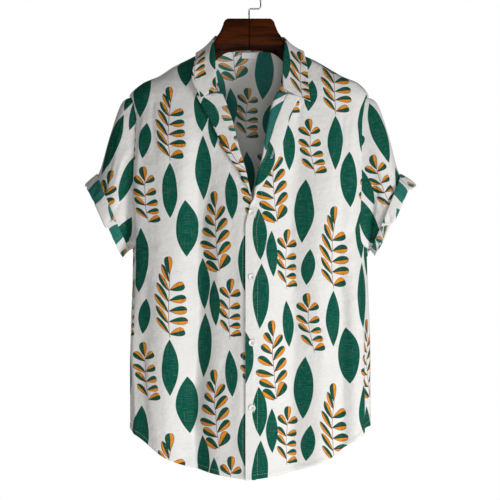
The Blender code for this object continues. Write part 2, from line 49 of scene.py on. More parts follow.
# columns: distance from the middle, top height, bottom height, thickness, squareness
HANGER_SECTIONS = (
    (0, -57.0, -111.5, 19, 3.6),
    (18, -57.0, -112.0, 19, 3.6),
    (34, -57.0, -114.5, 19, 3.6),
    (39, -58.5, -116.0, 19, 3.6),
    (42.5, -62.5, -117.5, 19, 3.6),
    (45.5, -71.0, -119.5, 19, 3.6),
    (49.5, -80.0, -122.5, 19, 3.6),
    (54.5, -87.5, -127.0, 19, 3.4),
    (58.5, -97.0, -131.5, 19, 3.0),
    (63, -109.0, -136.0, 19, 2.6),
    (70, -119.5, -142.5, 19, 2.2),
    (82, -126.0, -149.0, 20, 2.1),
    (95, -130.0, -154.5, 22, 2.0),
    (115, -141.0, -164.0, 24, 2.0),
    (135, -151.5, -174.0, 27, 2.0),
    (155, -164.5, -186.0, 29, 2.0),
    (175, -175.0, -198.0, 30, 2.0),
    (188, -185.0, -204.0, 28, 2.0),
    (193, -190.0, -203.0, 24, 2.0),
)
HANGER_LONG, HANGER_ROUND = 110, 48
WELD = 0.01 * MM
SIDES = (("right", -1), ("left", 1))


def read(rows, at):
    """The other columns of a table at values of its first, on curves that don't overshoot."""
    table = np.array(sorted(rows), float)
    knots, values = table[:, 0], table[:, 1:]
    slope = np.diff(values, axis=0) / np.diff(knots)[:, None]
    low, high = slope[:-1], slope[1:]
    same = low * high > 0
    middle = np.where(same, 2 * low * high / np.where(same, low + high, 1), 0)
    pull = np.vstack((slope[:1], middle, slope[-1:]))
    at = np.clip(np.asarray(at, float), knots[0], knots[-1])
    k = np.clip(np.searchsorted(knots, at, side="right") - 1, 0, len(knots) - 2)
    span = (knots[k + 1] - knots[k])[..., None]
    u = (at - knots[k])[..., None] / span
    found = (
        values[k] * (1 + 2 * u) * (1 - u) ** 2
        + values[k + 1] * u * u * (3 - 2 * u)
        + pull[k] * span * u * (1 - u) ** 2
        + pull[k + 1] * span * u * u * (u - 1)
    )
    return np.moveaxis(found, -1, 0)


def power(value, exponent):
    return np.sign(value) * np.abs(value) ** exponent


def grid_mesh(columns, rows):
    """A flat grid to be shaped, with its two shares, each 0 to 1, at every point."""
    work = bmesh.new()
    bmesh.ops.create_grid(work, x_segments=columns, y_segments=rows, size=0.5)
    flat = np.array([v.co for v in work.verts])
    return work, flat[:, 0] + 0.5, flat[:, 1] + 0.5


def put(work, points):
    """Moves the points of a mesh to places in millimetres."""
    for vert, place in zip(work.verts, points * MM):
        vert.co = place


def link_object(name, data):
    thing = bpy.data.objects.new(name, data)
    bpy.context.scene.collection.objects.link(thing)
    return thing


def mesh_from(name, work):
    mesh = bpy.data.meshes.new(name)
    work.to_mesh(mesh)
    work.free()
    return mesh


def make_piece(name, work, *materials):
    mesh = mesh_from(name, work)
    mesh.shade_smooth()
    for material in materials:
        mesh.materials.append(material)
    piece = link_object(name, mesh)
    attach(piece, "root")
    return piece


class Flow:
    """A value flowing through a node tree. Arithmetic with it adds the maths nodes."""

    def __init__(self, tree, socket):
        self.tree, self.socket = tree, socket

    def maths(self, operation, *others):
        return add_node(self.tree, "ShaderNodeMath", self, *others, operation=operation)[0]

    def vector(self, operation, *others):
        return add_node(self.tree, "ShaderNodeVectorMath", self, *others, operation=operation)[0]

    def __add__(self, other):
        return self.maths("ADD", other)

    def __sub__(self, other):
        return self.maths("SUBTRACT", other)

    def __rsub__(self, other):
        return add_node(self.tree, "ShaderNodeMath", other, self, operation="SUBTRACT")[0]

    def __mul__(self, other):
        return self.maths("MULTIPLY", other)

    def __pow__(self, other):
        return self.maths("POWER", other)

    def __abs__(self):
        return self.maths("ABSOLUTE")


def feed(socket, value):
    """Links a flow to a socket, or sets the socket's value. A colour may leave out its alpha."""
    if isinstance(value, Flow):
        value.tree.links.new(value.socket, socket)
    elif socket.type == "RGBA" and len(value) == 3:
        socket.default_value = (*value, 1.0)
    else:
        socket.default_value = value


def feed_named(node, values):
    for name, value in values.items():
        feed(node.inputs[name], value)


def add_node(tree, kind, *values, named=None, **settings):
    """The outputs of a new node. Inputs are fed in order, None leaves one alone, or by name."""
    node = tree.nodes.new(kind)
    for option, value in settings.items():
        setattr(node, option, value)
    for socket, value in zip(node.inputs, values):
        if value is not None:
            feed(socket, value)
    feed_named(node, named or {})
    return [Flow(tree, socket) for socket in node.outputs]


def blend(kind, factor, low, high):
    """Mixes two numbers (FLOAT), vectors (VECTOR) or colours (RGBA)."""
    tree = next(value.tree for value in (factor, low, high) if isinstance(value, Flow))
    at = ("FLOAT", "VECTOR", "RGBA").index(kind)
    unused = [None] * (1 + 2 * at)
    return add_node(tree, "ShaderNodeMix", factor, *unused, low, high, data_type=kind)[at]


def noise(place, scale, detail=2.0, rough=0.5, stretch=None):
    if stretch:
        place = add_node(place.tree, "ShaderNodeMapping", place, named={"Scale": stretch})[0]
    values = {"Scale": scale, "Detail": detail, "Roughness": rough}
    return add_node(place.tree, "ShaderNodeTexNoise", place, named=values)[0]


def step(value, low, high):
    """0 below low, 1 above high, smooth between."""
    kind = "ShaderNodeMapRange"
    return add_node(value.tree, kind, value, low, high, 0, 1, interpolation_type="SMOOTHSTEP")[0]


def split(place):
    return add_node(place.tree, "ShaderNodeSeparateXYZ", place)


def bumpy(height, strength, distance):
    values = {"Strength": strength, "Distance": distance, "Height": height}
    return add_node(height.tree, "ShaderNodeBump", named=values)[0]


def new_material(name, colour):
    """A material of one colour, its shader and the place on the object."""
    material = bpy.data.materials.new(name)
    material.use_nodes = True
    material.diffuse_color = (*colour, 1.0)
    tree = material.node_tree
    shader = tree.nodes["Principled BSDF"]
    feed_named(shader, {"Base Color": colour})
    coordinates = add_node(tree, "ShaderNodeTexCoord")
    place = next(flow for flow in coordinates if flow.socket.name == "Object")
    return material, shader, place


def stained_wood():
    material, shader, place = new_material("stained wood", (0.085, 0.03, 0.013))
    rings = noise(place, 1.6, 3.0, 0.55, stretch=(6.0, 40.0, 55.0))
    pores = noise(place, 1.0, 2.0, 0.6, stretch=(30.0, 400.0, 420.0))
    figure = step(rings, 0.34, 0.68)
    colour = blend("RGBA", figure, (0.010, 0.0022, 0.0006), (0.066, 0.0135, 0.0018))
    dark_pores = step(pores, 0.56, 0.70) * 0.55
    colour = blend("RGBA", dark_pores, colour, (0.008, 0.0025, 0.0015))
    glue = 1.0 - step(abs(split(place)[0]), 0.0003, 0.0012)
    values = {
        "Base Color": blend("RGBA", glue * 0.75, colour, (0.004, 0.002, 0.001)),
        "Roughness": blend("FLOAT", pores, 0.30, 0.44),
        "Specular IOR Level": 0.035,
        "Normal": bumpy(pores, 0.12, 0.0004),
    }
    feed_named(shader, values)
    return material


def hanger_half(name, side, wood):
    work, turn, along = grid_mesh(HANGER_ROUND, HANGER_LONG)
    numbered = [(i, *row) for i, row in enumerate(HANGER_SECTIONS)]
    x, top, bottom, thick, square = read(numbered, along * (len(numbered) - 1))
    a = 2 * math.pi * turn
    y = thick / 2 * power(np.cos(a), 2 / square)
    z = (top + bottom) / 2 + (top - bottom) / 2 * power(np.sin(a), 2 / square)
    put(work, np.stack((side * x, y, z), 1))
    bmesh.ops.remove_doubles(work, verts=work.verts, dist=WELD)
    rim = [e for e in work.edges if e.is_boundary]
    bmesh.ops.holes_fill(work, edges=rim, sides=0)
    bmesh.ops.recalc_face_normals(work, faces=work.faces)
    return make_piece(name, work, wood)


wood_material = stained_wood()
for hanger_word, hanger_side in SIDES:
    half = hanger_half(f"hanger_wood_{hanger_word}", hanger_side, wood_material)
    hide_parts(f"hanger_{hanger_word}")

# ------------------------ hook
# One length of bright plated steel wire, screwed into the joint of the halves, cranked to
# one side and bent round over its own stem.

WIRE_RADIUS, HOOK_RADIUS = 1.4, 19.5
STEM_FOOT_Z, JOG_Z, BEND_RADIUS = -56.6, -40.5, 3.2
TIP_ANGLE = 198.0
HOOK_STEPS, BEND_STEPS = 48, 10


def wire_bend(x, z, start, turn):
    angles = np.radians(np.linspace(start, start + turn, BEND_STEPS + 1))
    return [(x + BEND_RADIUS * math.cos(a), 0, z + BEND_RADIUS * math.sin(a)) for a in angles]


def plated_steel():
    material, shader, place = new_material("plated steel", (0.42, 0.42, 0.43))
    smears = noise(place, 260.0, 3.0)
    feed_named(shader, {"Metallic": 1.0, "Roughness": blend("FLOAT", smears, 0.16, 0.34)})
    return material


def bent_wire():
    path = [(0, 0, STEM_FOOT_Z), (0, 0, (STEM_FOOT_Z + JOG_Z) / 2)]
    path += wire_bend(BEND_RADIUS, JOG_Z - BEND_RADIUS, 180, -90)
    path += [(HOOK_RADIUS / 2, 0, JOG_Z)]
    path += wire_bend(HOOK_RADIUS - BEND_RADIUS, JOG_Z + BEND_RADIUS, -90, 90)
    for a in np.radians(np.linspace(0, TIP_ANGLE, HOOK_STEPS + 1)):
        high = WIRE_RADIUS - HOOK_RADIUS + HOOK_RADIUS * math.sin(a)
        path.append((HOOK_RADIUS * math.cos(a), 0, high))
    curve = bpy.data.curves.new("hook_wire", "CURVE")
    curve.dimensions = "3D"
    curve.bevel_depth = WIRE_RADIUS * MM
    curve.bevel_resolution = 5
    curve.use_fill_caps = True
    curve.materials.append(plated_steel())
    spline = curve.splines.new("POLY")
    spline.points.add(len(path) - 1)
    for point, place in zip(spline.points, path):
        point.co = (*(Vector(place) * MM), 1.0)
    piece = link_object("hook_wire", curve)
    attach(piece, "root")
    return piece


hook_wire = bent_wire()
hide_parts("hook")

# ------------------------ printed cloth
# Slubby off-white plain weave, screen printed with solid lens-shaped leaves and two-tone
# sprigs. The ink doesn't go right through, so the wrong side is paler and cooler.

REPEAT_WIDE, REPEAT_HIGH = 183.0, 297.0  # millimetres, the size of the screen

# columns: across, up, half width, half length, lean in degrees
LEAVES = (
    (-32, -11, 13.0, 43, 2),
    (-10.5, -43, 10.3, 39, 1),
    (-31, -114, 14.3, 55, -2),
    (18.5, -161, 11.2, 40, 3),
    (46.5, 28, 16.6, 54, -3),
    (53.5, -66, 11.5, 31, -7),
    (98, -152, 13.5, 48, 0),
    (124, 82, 17.0, 48, 2),
)
# columns: across, up (the foot of its lowest leaflets), size, lean in degrees, kind of sprig
SPRIGS = (
    (-9, 8, 1.0, 3, 0),
    (16, -98, 0.77, -4, 2),
    (55, -206, 0.78, 5, 2),
    (96, -96, 1.0, -2, 1),
)
# Leaflets of the three kinds of sprig. columns: side, foot up the stem, rise in degrees,
# length, half width, 1 where the upper half is the orange one, how early it narrows to its end
FULL_LEAFLETS = (
    (1, 5, 50, 30, 8.6, 1, 0.4),
    (1, 28, 39, 32, 6.8, 0, 0.45),
    (1, 47, 42, 32, 6.8, 0, 0.45),
    (1, 66, 48, 31, 6.6, 0, 0.45),
    (1, 86, 57, 28, 5.8, 1, 0.45),
    (-1, 0, 38, 29, 8.0, 0, 0.45),
    (-1, 20, 30, 30, 6.6, 1, 0.45),
    (-1, 41, 15, 32, 6.4, 0, 0.45),
    (-1, 57, 33, 30, 6.8, 0, 0.45),
    (-1, 77, 42, 27, 6.2, 1, 0.45),
    (-1, 95, 50, 25, 5.6, 0, 0.45),
    (-1, 107, 75, 28, 6.8, 1, 0.4),
)
SLANTED_LEAFLETS = (
    (1, 0, 18, 24, 7.6, 1, 0.35),
    (1, 22, 6, 29, 6.8, 0, 0.45),
    (1, 39, 8, 29, 6.8, 0, 0.45),
    (1, 57, 10, 27, 7.2, 0, 0.45),
    (1, 74, 24, 25, 7.6, 1, 0.35),
    (-1, 1, 53, 33, 4.8, 0, 0.7),
    (-1, 18, 55, 35, 4.8, 1, 0.7),
    (-1, 36, 53, 39, 4.8, 0, 0.7),
    (-1, 54, 57, 38, 4.8, 0, 0.7),
    (-1, 72, 58, 35, 4.8, 1, 0.7),
    (-1, 88, 62, 33, 4.6, 0, 0.7),
    (-1, 100, 76, 32, 6.6, 1, 0.4),
)
SMALL_LEAFLETS = (
    (1, 0, 17, 27, 7.8, 1, 0.35),
    (1, 20, 8, 26, 7.0, 0, 0.4),
    (1, 38, 11, 26, 7.2, 0, 0.4),
    (1, 59, 20, 25, 7.6, 1, 0.4),
    (1, 85, 30, 24, 8.4, 1, 0.35),
    (-1, 7, 53, 34, 6.2, 0, 0.6),
    (-1, 36, 45, 31, 6.6, 1, 0.5),
    (-1, 56, 38, 32, 6.6, 0, 0.5),
    (-1, 80, 45, 33, 7.2, 1, 0.45),
    (-1, 90, 80, 34, 8.4, 1, 0.4),
)
SPRIG_TALL = 134.0
SPRIG_REACH, SPRIG_RISE = 34.0, 72.43  # half the width and half the height kept for a sprig
STEM_MIDDLE, STEM_HALF, STEM_THICK = 49.0, 60.0, 0.7
STEM_BOW, BOW_MIDDLE = -0.0011, 62.0
LEAFLET_HALF = 6.0  # half width of a common leaflet
HAND_WOBBLE, WOBBLE_SCALE = 7.0, 0.016  # no two prints of a motif are quite alike


def motif_place(place, across, up, lean, half_wide, half_long):
    """The place seen from the nearest copy of a motif, upright, in its own half sizes."""
    half = (REPEAT_WIDE / 2, REPEAT_HIGH / 2, 1)
    off = place.vector("SUBTRACT", (across, up, 0)).vector("WRAP", half, tuple(-h for h in half))
    return turned(off, -lean).vector("MULTIPLY", (1 / half_wide, 1 / half_long, 0))


def turned(place, degrees, centre=(0, 0, 0)):
    named = {"Center": centre, "Angle": math.radians(degrees)}
    kind = "ShaderNodeVectorRotate"
    return add_node(place.tree, kind, place, named=named, rotation_type="Z_AXIS")[0]


def leaf_mask(place, across, up, half_wide, half_long, lean):
    """Above 0 inside one leaf, a lens with pointed ends."""
    x, y, _ = split(motif_place(place, across, up, lean, half_wide, half_long))
    return (1.0 - (abs(x) + y * y)) * half_wide


def nearest_sprig(place):
    """The place within whichever sprig it falls in, in its own millimetres, and its kind."""
    chosen = (999.0, 999.0, 0.0)
    for across, up, size, lean, kind in SPRIGS:
        own = motif_place(place, across, up + SPRIG_TALL / 2 * size, lean, size, size)
        x, y, _ = split(own.vector("MULTIPLY", (1 / SPRIG_REACH, 1 / SPRIG_RISE, 0)))
        inside = abs(x).maths("MAXIMUM", abs(y)).maths("LESS_THAN", 1.0)
        chosen = blend("VECTOR", inside, chosen, own.vector("ADD", (0, 0, kind)))
    return chosen.vector("ADD", (0, SPRIG_TALL / 2, 0))


def teardrop(along, narrowing):
    """Half width of a leaflet along its length, pointed at its foot, 1 where it is widest."""
    widest = 1 / (1 + narrowing)
    full = widest * (1 - widest) ** narrowing
    along = add_node(along.tree, "ShaderNodeClamp", along)[0]
    return along * (1.0 - along) ** narrowing * (1 / full)


def leaflet_masks(place, leaflets):
    """(depth inside a leaflet, offset to its green side), both in its half widths."""
    depth, aside = -9.0, 0.0
    for side, foot, rise, long, wide, swapped, narrowing in leaflets:
        off = turned(place, -rise if side > 0 else rise - 180, (0, foot, 0))
        off = off.vector("SUBTRACT", (0, foot, 0))
        unit = off.vector("MULTIPLY", (1 / long, side * (1 - 2 * swapped) / wide, 0))
        along, across, _ = split(unit)
        inside = teardrop(along, narrowing) - abs(across)
        aside = blend("FLOAT", inside.maths("GREATER_THAN", depth), aside, across)
        depth = inside.maths("MAXIMUM", depth)
    return depth, aside


def sprig_masks(place):
    """(depth inside a leaflet, offset to its green side, depth inside the stem)."""
    x, y, kind = split(place)
    across = x + (y - BOW_MIDDLE) ** 2.0 * STEM_BOW
    straight = add_node(place.tree, "ShaderNodeCombineXYZ", across, y)[0]
    depth, aside = leaflet_masks(straight, FULL_LEAFLETS)
    for number, leaflets in ((1, SLANTED_LEAFLETS), (2, SMALL_LEAFLETS)):
        own_depth, own_aside = leaflet_masks(straight, leaflets)
        chosen = kind.maths("GREATER_THAN", number - 0.5)
        depth = blend("FLOAT", chosen, depth, own_depth)
        aside = blend("FLOAT", chosen, aside, own_aside)
    on_stem = abs(y - STEM_MIDDLE).maths("LESS_THAN", STEM_HALF)
    stem = (STEM_THICK - abs(across)) * on_stem
    return depth * LEAFLET_HALF, aside * LEAFLET_HALF, stem


def print_group():
    """The screen as a node group: from a place on the cloth to its ink and how much there is."""
    group = bpy.data.node_groups.new("leaf and sprig print", "ShaderNodeTree")
    for name, direction, kind in (
        ("Place", "INPUT", "NodeSocketVector"),
        ("Ink", "OUTPUT", "NodeSocketColor"),
        ("Amount", "OUTPUT", "NodeSocketFloat"),
    ):
        group.interface.new_socket(name=name, in_out=direction, socket_type=kind)
    place = add_node(group, "NodeGroupInput")[0].vector("MULTIPLY", (1000, 1000, 0))
    named = {"Scale": WOBBLE_SCALE, "Detail": 1.0}
    wobble = add_node(group, "ShaderNodeTexNoise", place, named=named)[1]
    drift = wobble.vector("SUBTRACT", (0.5, 0.5, 0.5))
    place = place.vector("ADD", drift.vector("MULTIPLY", (HAND_WOBBLE, HAND_WOBBLE, 0)))
    leaf = leaf_mask(place, *LEAVES[0])
    for row in LEAVES[1:]:
        leaf = leaf.maths("MAXIMUM", leaf_mask(place, *row))
    depth, aside, stem = sprig_masks(nearest_sprig(place))
    brushed = noise(place, 1.0, 3.0, 0.65, stretch=(0.10, 1.15, 1))
    crossed = noise(place, 1.0, 3.0, 0.65, stretch=(1.1, 0.12, 1))
    streaks = step(brushed, 0.50, 0.66)
    green = blend("RGBA", streaks, (0.001, 0.092, 0.058), (0.0008, 0.050, 0.034))
    green = blend("RGBA", step(crossed, 0.54, 0.72), green, (0.0008, 0.040, 0.028))
    hatch = step(crossed, 0.52, 0.62)
    orange = blend("RGBA", hatch, (0.72, 0.28, 0.025), (0.36, 0.11, 0.014))
    half = aside.maths("GREATER_THAN", 0.0)
    leaflet = blend("RGBA", half, orange, green)
    outline = 1.0 - step(depth.maths("MINIMUM", abs(aside)), 0.40, 0.95)
    edging = blend("RGBA", half, (0.11, 0.038, 0.014), (0.006, 0.020, 0.014))
    leaflet = blend("RGBA", outline, leaflet, edging)
    in_leaflet = step(depth, -0.15, 0.25)
    in_stem = step(stem, 0.0, 0.35)
    in_leaf = step(leaf, 0.0, 0.45)
    ink = blend("RGBA", in_stem, green, (0.30, 0.13, 0.10))
    ink = blend("RGBA", in_leaflet, ink, leaflet)
    ink = blend("RGBA", in_leaf, ink, green)
    amount = in_leaflet.maths("MAXIMUM", in_stem).maths("MAXIMUM", in_leaf)
    add_node(group, "NodeGroupOutput", ink, amount)
    return group


def cloth_material(name, screen, ground, ink_share, ink_tint):
    """One face of the cloth. ink_share is how strongly the print shows on it."""
    material, shader, _ = new_material(name, ground)
    tree = material.node_tree
    place = add_node(tree, "ShaderNodeUVMap", uv_map="cloth")[0]
    ink, amount = add_node(tree, "ShaderNodeGroup", place, node_tree=screen)
    weft = noise(place, 1.0, 3.0, 0.6, stretch=(60, 900, 1))
    warp = noise(place, 1.0, 3.0, 0.6, stretch=(1000, 45, 1))
    slub = step(weft, 0.52, 0.74).maths("MAXIMUM", step(warp, 0.54, 0.76))
    yarn = blend("RGBA", slub, ground, tuple(0.86 * c for c in ground))
    ink = blend("RGBA", 1 - ink_share, ink, ink_tint)
    shown = amount * (slub * -0.10 + 1.0)
    crumple = noise(place, 42.0, 4.0, 0.62)
    values = {
        "Base Color": blend("RGBA", shown, yarn, ink),
        "Roughness": 0.88,
        "Specular IOR Level": 0.06,
        "Sheen Weight": 0.02,
        "Sheen Roughness": 0.45,
        "Normal": bumpy(crumple * 3.2 + (weft + warp) * 0.22, 0.45, 0.002),
    }
    feed_named(shader, values)
    return material


screen = print_group()
RIGHT_SIDE = cloth_material("printed cloth", screen, (0.765, 0.758, 0.735), 1.0, (0.5, 0.5, 0.5))
WRONG_SIDE = cloth_material(
    "cloth wrong side", screen, (0.755, 0.745, 0.715), 0.86, (0.14, 0.62, 0.62),
)

# ------------------------ back
# One panel from side seam to side seam, up to the shoulders and the back of the neck. It
# hangs from the hanger's arms in a few long soft folds.

UNDERARM_Z, SHOULDER_Z, NECK_Z, BACK_NECK_Z = -447.0, -190.0, -115.0, -112.0
SECTION_POWER = 2.2
WALL = 0.9

# columns: height, half width at -X, half width at +X, depth of front, depth of back
BODY_LEVELS = (
    (-870, 199, 203, 82, 78),
    (-750, 201, 206, 84, 80),
    (-600, 201, 205, 88, 84),
    (-505, 198, 202, 90, 84),
    (-447, 197, 200, 90, 82),
    (-357, 201, 203, 86, 76),
    (-274, 204, 205, 75, 66),
    (-226, 205, 206, 62, 56),
    (-190, 203, 203, 50, 46),
    (-168, 181, 186, 42, 40),
    (-155, 152, 157, 37, 36),
    (-141, 131, 133, 31, 32),
    (-127, 103, 108, 25, 28),
    (-120, 89, 91, 22, 26),
    (-115, 77, 78, 19, 25),
    (-105, 60, 60, 14, 22),
)
HEM_SIDE_Z = -748.0
HEM_DROPS = ((0.0, 87), (0.25, 80), (0.5, 68), (0.68, 53), (0.83, 29), (0.93, 11), (1.0, 0))
ARMHOLE = (
    (0, 1.0), (15, 0.965), (30, 0.94), (50, 0.93), (90, 0.935), (130, 0.93), (150, 0.95),
    (168, 0.98), (180, 1.0),
)
# columns: angle round the body, half width in degrees, top height, bottom height, depth
BODY_FOLDS = (
    (-74, 6, -520, -900, 5),
    (-60, 7, -420, -900, -3),
    (-45, 7, -330, -900, 3),
    (-29, 7, -440, -900, -6),
    (-14, 5, -330, -900, 2),
    (15, 5, -420, -900, -5),
    (30, 7, -300, -900, 1),
    (46, 7, -380, -900, -7),
    (62, 7, -430, -900, 6),
    (76, 5, -520, -900, -5),
    (102, 7, -480, -900, 6),
    (119, 8, -360, -900, -7),
    (137, 8, -250, -900, 6),
    (156, 8, -330, -900, -6),
    (175, 9, -220, -900, 7),
    (195, 8, -300, -900, -6),
    (214, 8, -260, -900, 7),
    (233, 8, -350, -900, -7),
    (250, 7, -440, -900, 6),
)
FOLD_FADE, FOLD_FOOT = 130.0, 20.0
# Creases of the hung cloth, soft troughs (-) and ridges (+).
# columns: angle and height of one end, angle and height of the other, half width, depth
BODY_CREASES = (
    (-66, -205, -72, -330, 7, -2.2),
    (-58, -215, -60, -390, 9, 1.8),
    (-50, -190, -47, -300, 8, -1.5),
    (-72, -400, -48, -452, 8, -2.0),
    (-70, -445, -40, -520, 10, 1.6),
    (-36, -240, -30, -430, 12, -1.6),
    (-16, -330, -22, -470, 9, -2.4),
    (-9, -400, -12, -560, 7, 1.8),
    (-24, -560, -33, -700, 11, -1.8),
    (-52, -600, -48, -760, 10, 1.7),
    (-8, -620, -16, -780, 8, -1.8),
    (66, -200, 70, -330, 7, -2.4),
    (58, -205, 60, -400, 8, 2.0),
    (50, -200, 52, -340, 7, -2.2),
    (43, -215, 44, -360, 8, 1.5),
    (24, -200, 22, -255, 6, -2.2),
    (30, -215, 34, -400, 11, 1.4),
    (72, -400, 46, -455, 8, -2.0),
    (68, -450, 36, -530, 10, 1.5),
    (20, -380, 26, -560, 10, -1.7),
    (8, -440, 11, -600, 7, 1.3),
    (38, -540, 34, -700, 11, -1.9),
    (56, -560, 60, -740, 10, 1.8),
    (12, -640, 20, -800, 9, -1.6),
    (112, -230, 118, -400, 10, -2.0),
    (126, -200, 140, -330, 12, 1.6),
    (150, -180, 146, -360, 11, -1.8),
    (172, -150, 168, -300, 12, 1.5),
    (198, -160, 204, -330, 12, -1.6),
    (222, -190, 228, -360, 11, 1.8),
    (244, -210, 240, -390, 9, -2.0),
    (110, -440, 140, -520, 11, -1.8),
    (252, -445, 222, -510, 11, -1.8),
    (160, -480, 166, -700, 12, 1.6),
    (186, -520, 180, -760, 11, -1.7),
    (206, -500, 212, -720, 12, 1.6),
    (130, -560, 126, -760, 12, -1.7),
    (240, -580, 236, -760, 11, 1.6),
)
# Long hanging falls, valleys with one steep side and one that rises slowly.
# columns: across at the top, height, across at the bottom, depth, width to -X, width to +X
FALLS = (
    (-68, -250, -78, -25.0, 13, 42),
    (-5, -400, -5, 6.0, 12, 26),
    (58, -225, 62, -25.0, 26, 36),
    (-190, -260, -192, 13.0, 14, 46),
    (146, -330, 150, -4.5, 14, 10),
    (-400, -330, -410, -8.0, 20, 22),
    (395, -300, 390, -8.0, 20, 18),
    (-300, -380, -292, -6.0, 16, 20),
    (290, -350, 300, -6.5, 16, 20),
    (500, -300, 510, -6.0, 20, 20),
)
CREASE_BOW, CREASE_TAPER = 0.06, 0.8
CREASE_START, CREASE_SPREAD = 0.55, 0.75  # shares of its half width where it starts and beyond
FALL_SHARPNESS = 1.6  # more is a narrower fall between its widths
FALL_LEAD, FALL_FADE = 60.0, 190.0  # a fall starts this far above its top, and grows over this
FALL_HEM_Z = -850.0
WANDER, WANDER_HEIGHT = 3.0, 47.0  # a fall sways by this, over this height
ROUND_A_DEGREE = 2.9  # cloth round the body for each degree
HALF_ROUND = 180 * ROUND_A_DEGREE
SHOULDER_SLOPE, SLOPE_FOOT_Z = 0.14, -250.0  # cloth runs this much further up the slope
SHOULDER_SHARE = 0.3  # of the back's width, at each side
HEM_PROUD, HEM_TURN, HEM_SOFT = 0.55, 7.0, 2.0
HEM_DENT, HEM_DENT_UP, HEM_DENT_HALF = -0.5, 9.0, 1.6
BACK_COLUMNS, BODY_ROWS = 150, 200
# Where each piece was laid on the printed cloth. columns: across, up, in millimetres
CUT_FROM = {
    "front_right": (48.8, 495.7),
    "front_left": (-50.0, 413.1),
    "facing_right": (56.5, 145.0),
    "facing_left": (132.0, 394.0),
    "back": (20.0, 455.0),
    "sleeve_right": (-38.0, -44.8),
    "sleeve_left": (60.2, 74.9),
    "cuff_right": (107.7, 458.3),
    "cuff_left": (35.5, 279.7),
    "collar": (0.0, 0.0),
    "collar_right": (51.5, -132.0),
    "collar_left": (-12.0, -100.0),
}


def ease(u):
    u = np.clip(u, 0.0, 1.0)
    return u * u * (3 - 2 * u)


def hump(at, centre, half):
    """1 at the centre, falling smoothly away on both sides."""
    return np.exp(-(((at - centre) / half) ** 2))


def body_skin(degrees, z):
    """Points and outward directions of the body's plain section."""
    right, left, front, back = read(BODY_LEVELS, z)
    a = np.radians(degrees)
    sine, cosine = np.sin(a), np.cos(a)
    wide, deep = np.where(sine > 0, left, right), np.where(cosine > 0, front, back)
    x = wide * power(sine, 2 / SECTION_POWER)
    y = -deep * power(cosine, 2 / SECTION_POWER)
    out_x, out_y = x / wide**2, y / deep**2
    length = np.hypot(out_x, out_y)
    flat = np.zeros_like(x)
    return np.stack((x, y, z + flat), -1), np.stack((out_x / length, out_y / length, flat), -1)


def cloth_across(degrees, z):
    """Distance along the cloth from the middle of the front, at one height, in millimetres."""
    shares = np.linspace(0, 1, 37)
    points, _ = body_skin(np.multiply.outer(shares, degrees), z)
    steps = np.linalg.norm(np.diff(points, axis=0), axis=-1)
    return steps.sum(axis=0) * np.sign(degrees)


def cloth_up(z):
    """Height along the cloth: it runs further than straight up over the sloping shoulders."""
    return z + SHOULDER_SLOPE * np.maximum(z - SLOPE_FOOT_Z, 0.0)


def body_folds(degrees, z):
    moved = np.zeros(np.broadcast(degrees, z).shape)
    for centre, half, top, bottom, depth in BODY_FOLDS:
        off = (degrees - centre + 180.0) % 360.0 - 180.0
        across = np.maximum(0.0, 1 - (off / (2 * half)) ** 2) ** 2
        shown = ease((top - z) / FOLD_FADE) * ease((z - bottom) / FOLD_FOOT)
        moved = moved + depth * across * shown
    return moved


def crease_depth(across, up, creases):
    """Creases given as (across, up) ends, half width and depth, all in millimetres."""
    moved = np.zeros_like(across)
    for start_x, start_z, end_x, end_z, half, depth in creases:
        run_x, run_z = end_x - start_x, end_z - start_z
        length = math.hypot(run_x, run_z)
        along = ((across - start_x) * run_x + (up - start_z) * run_z) / length**2
        along = np.clip(along, 0, 1)
        arch = np.sin(math.pi * along)
        aside = ((across - start_x) * run_z - (up - start_z) * run_x) / length
        aside = aside - CREASE_BOW * length * arch
        narrow = half * (CREASE_START + CREASE_SPREAD * along)
        moved = moved + depth * arch**CREASE_TAPER * hump(aside, 0, narrow)
    return moved


def fall_depth(around, z):
    """How far the falls move the skin out at this place round the body and height."""
    moved = np.zeros_like(around)
    for top_x, top_z, low_x, depth, right, left in FALLS:
        down = np.clip((top_z - z) / (top_z - FALL_HEM_Z), 0, 1)
        middle = top_x + (low_x - top_x) * down + WANDER * np.sin(z / WANDER_HEIGHT + top_x)
        off = (around - middle + HALF_ROUND) % (2 * HALF_ROUND) - HALF_ROUND
        width = np.where(off < 0, right, left)
        across = np.exp(1 - np.sqrt(1 + (FALL_SHARPNESS * off / width) ** 2))
        moved = moved + depth * across * ease((top_z + FALL_LEAD - z) / FALL_FADE)
    return moved


def body_point(degrees, z, out=0.0):
    """The hung cloth, with its folds and creases, moved out by some millimetres."""
    points, outward = body_skin(degrees, z)
    around = np.where(degrees > 180.0, degrees - 360.0, degrees) * ROUND_A_DEGREE
    level = z + np.zeros_like(around)
    creases = []
    for a, low, b, high, half, depth in BODY_CREASES:
        for whole in (0.0, 360.0):
            ends = [(end - whole) * ROUND_A_DEGREE for end in (a, b)]
            creases.append((ends[0], low, ends[1], high, half, depth))
    own = body_folds(degrees, z) + crease_depth(around, level, creases)
    return points + outward * (own + fall_depth(around, level) + out)[..., None]


def body_angle(x, z):
    right, left, _, _ = read(BODY_LEVELS, z)
    share = np.minimum(np.abs(x) / np.where(x > 0, left, right), 1.0)
    return np.sign(x) * np.degrees(np.arcsin(share ** (SECTION_POWER / 2)))


def armhole_turn(t):
    z = (UNDERARM_Z + SHOULDER_Z) / 2 - (SHOULDER_Z - UNDERARM_Z) / 2 * np.cos(math.pi * t)
    share = read(ARMHOLE, 180.0 * t)[0]
    return np.degrees(np.arcsin(np.minimum(1.0, share ** (SECTION_POWER / 2)))), z


def hem_height(degrees):
    share = np.abs(np.sin(np.radians(degrees))) ** (2 / SECTION_POWER)
    return HEM_SIDE_Z - read(HEM_DROPS, share)[0]


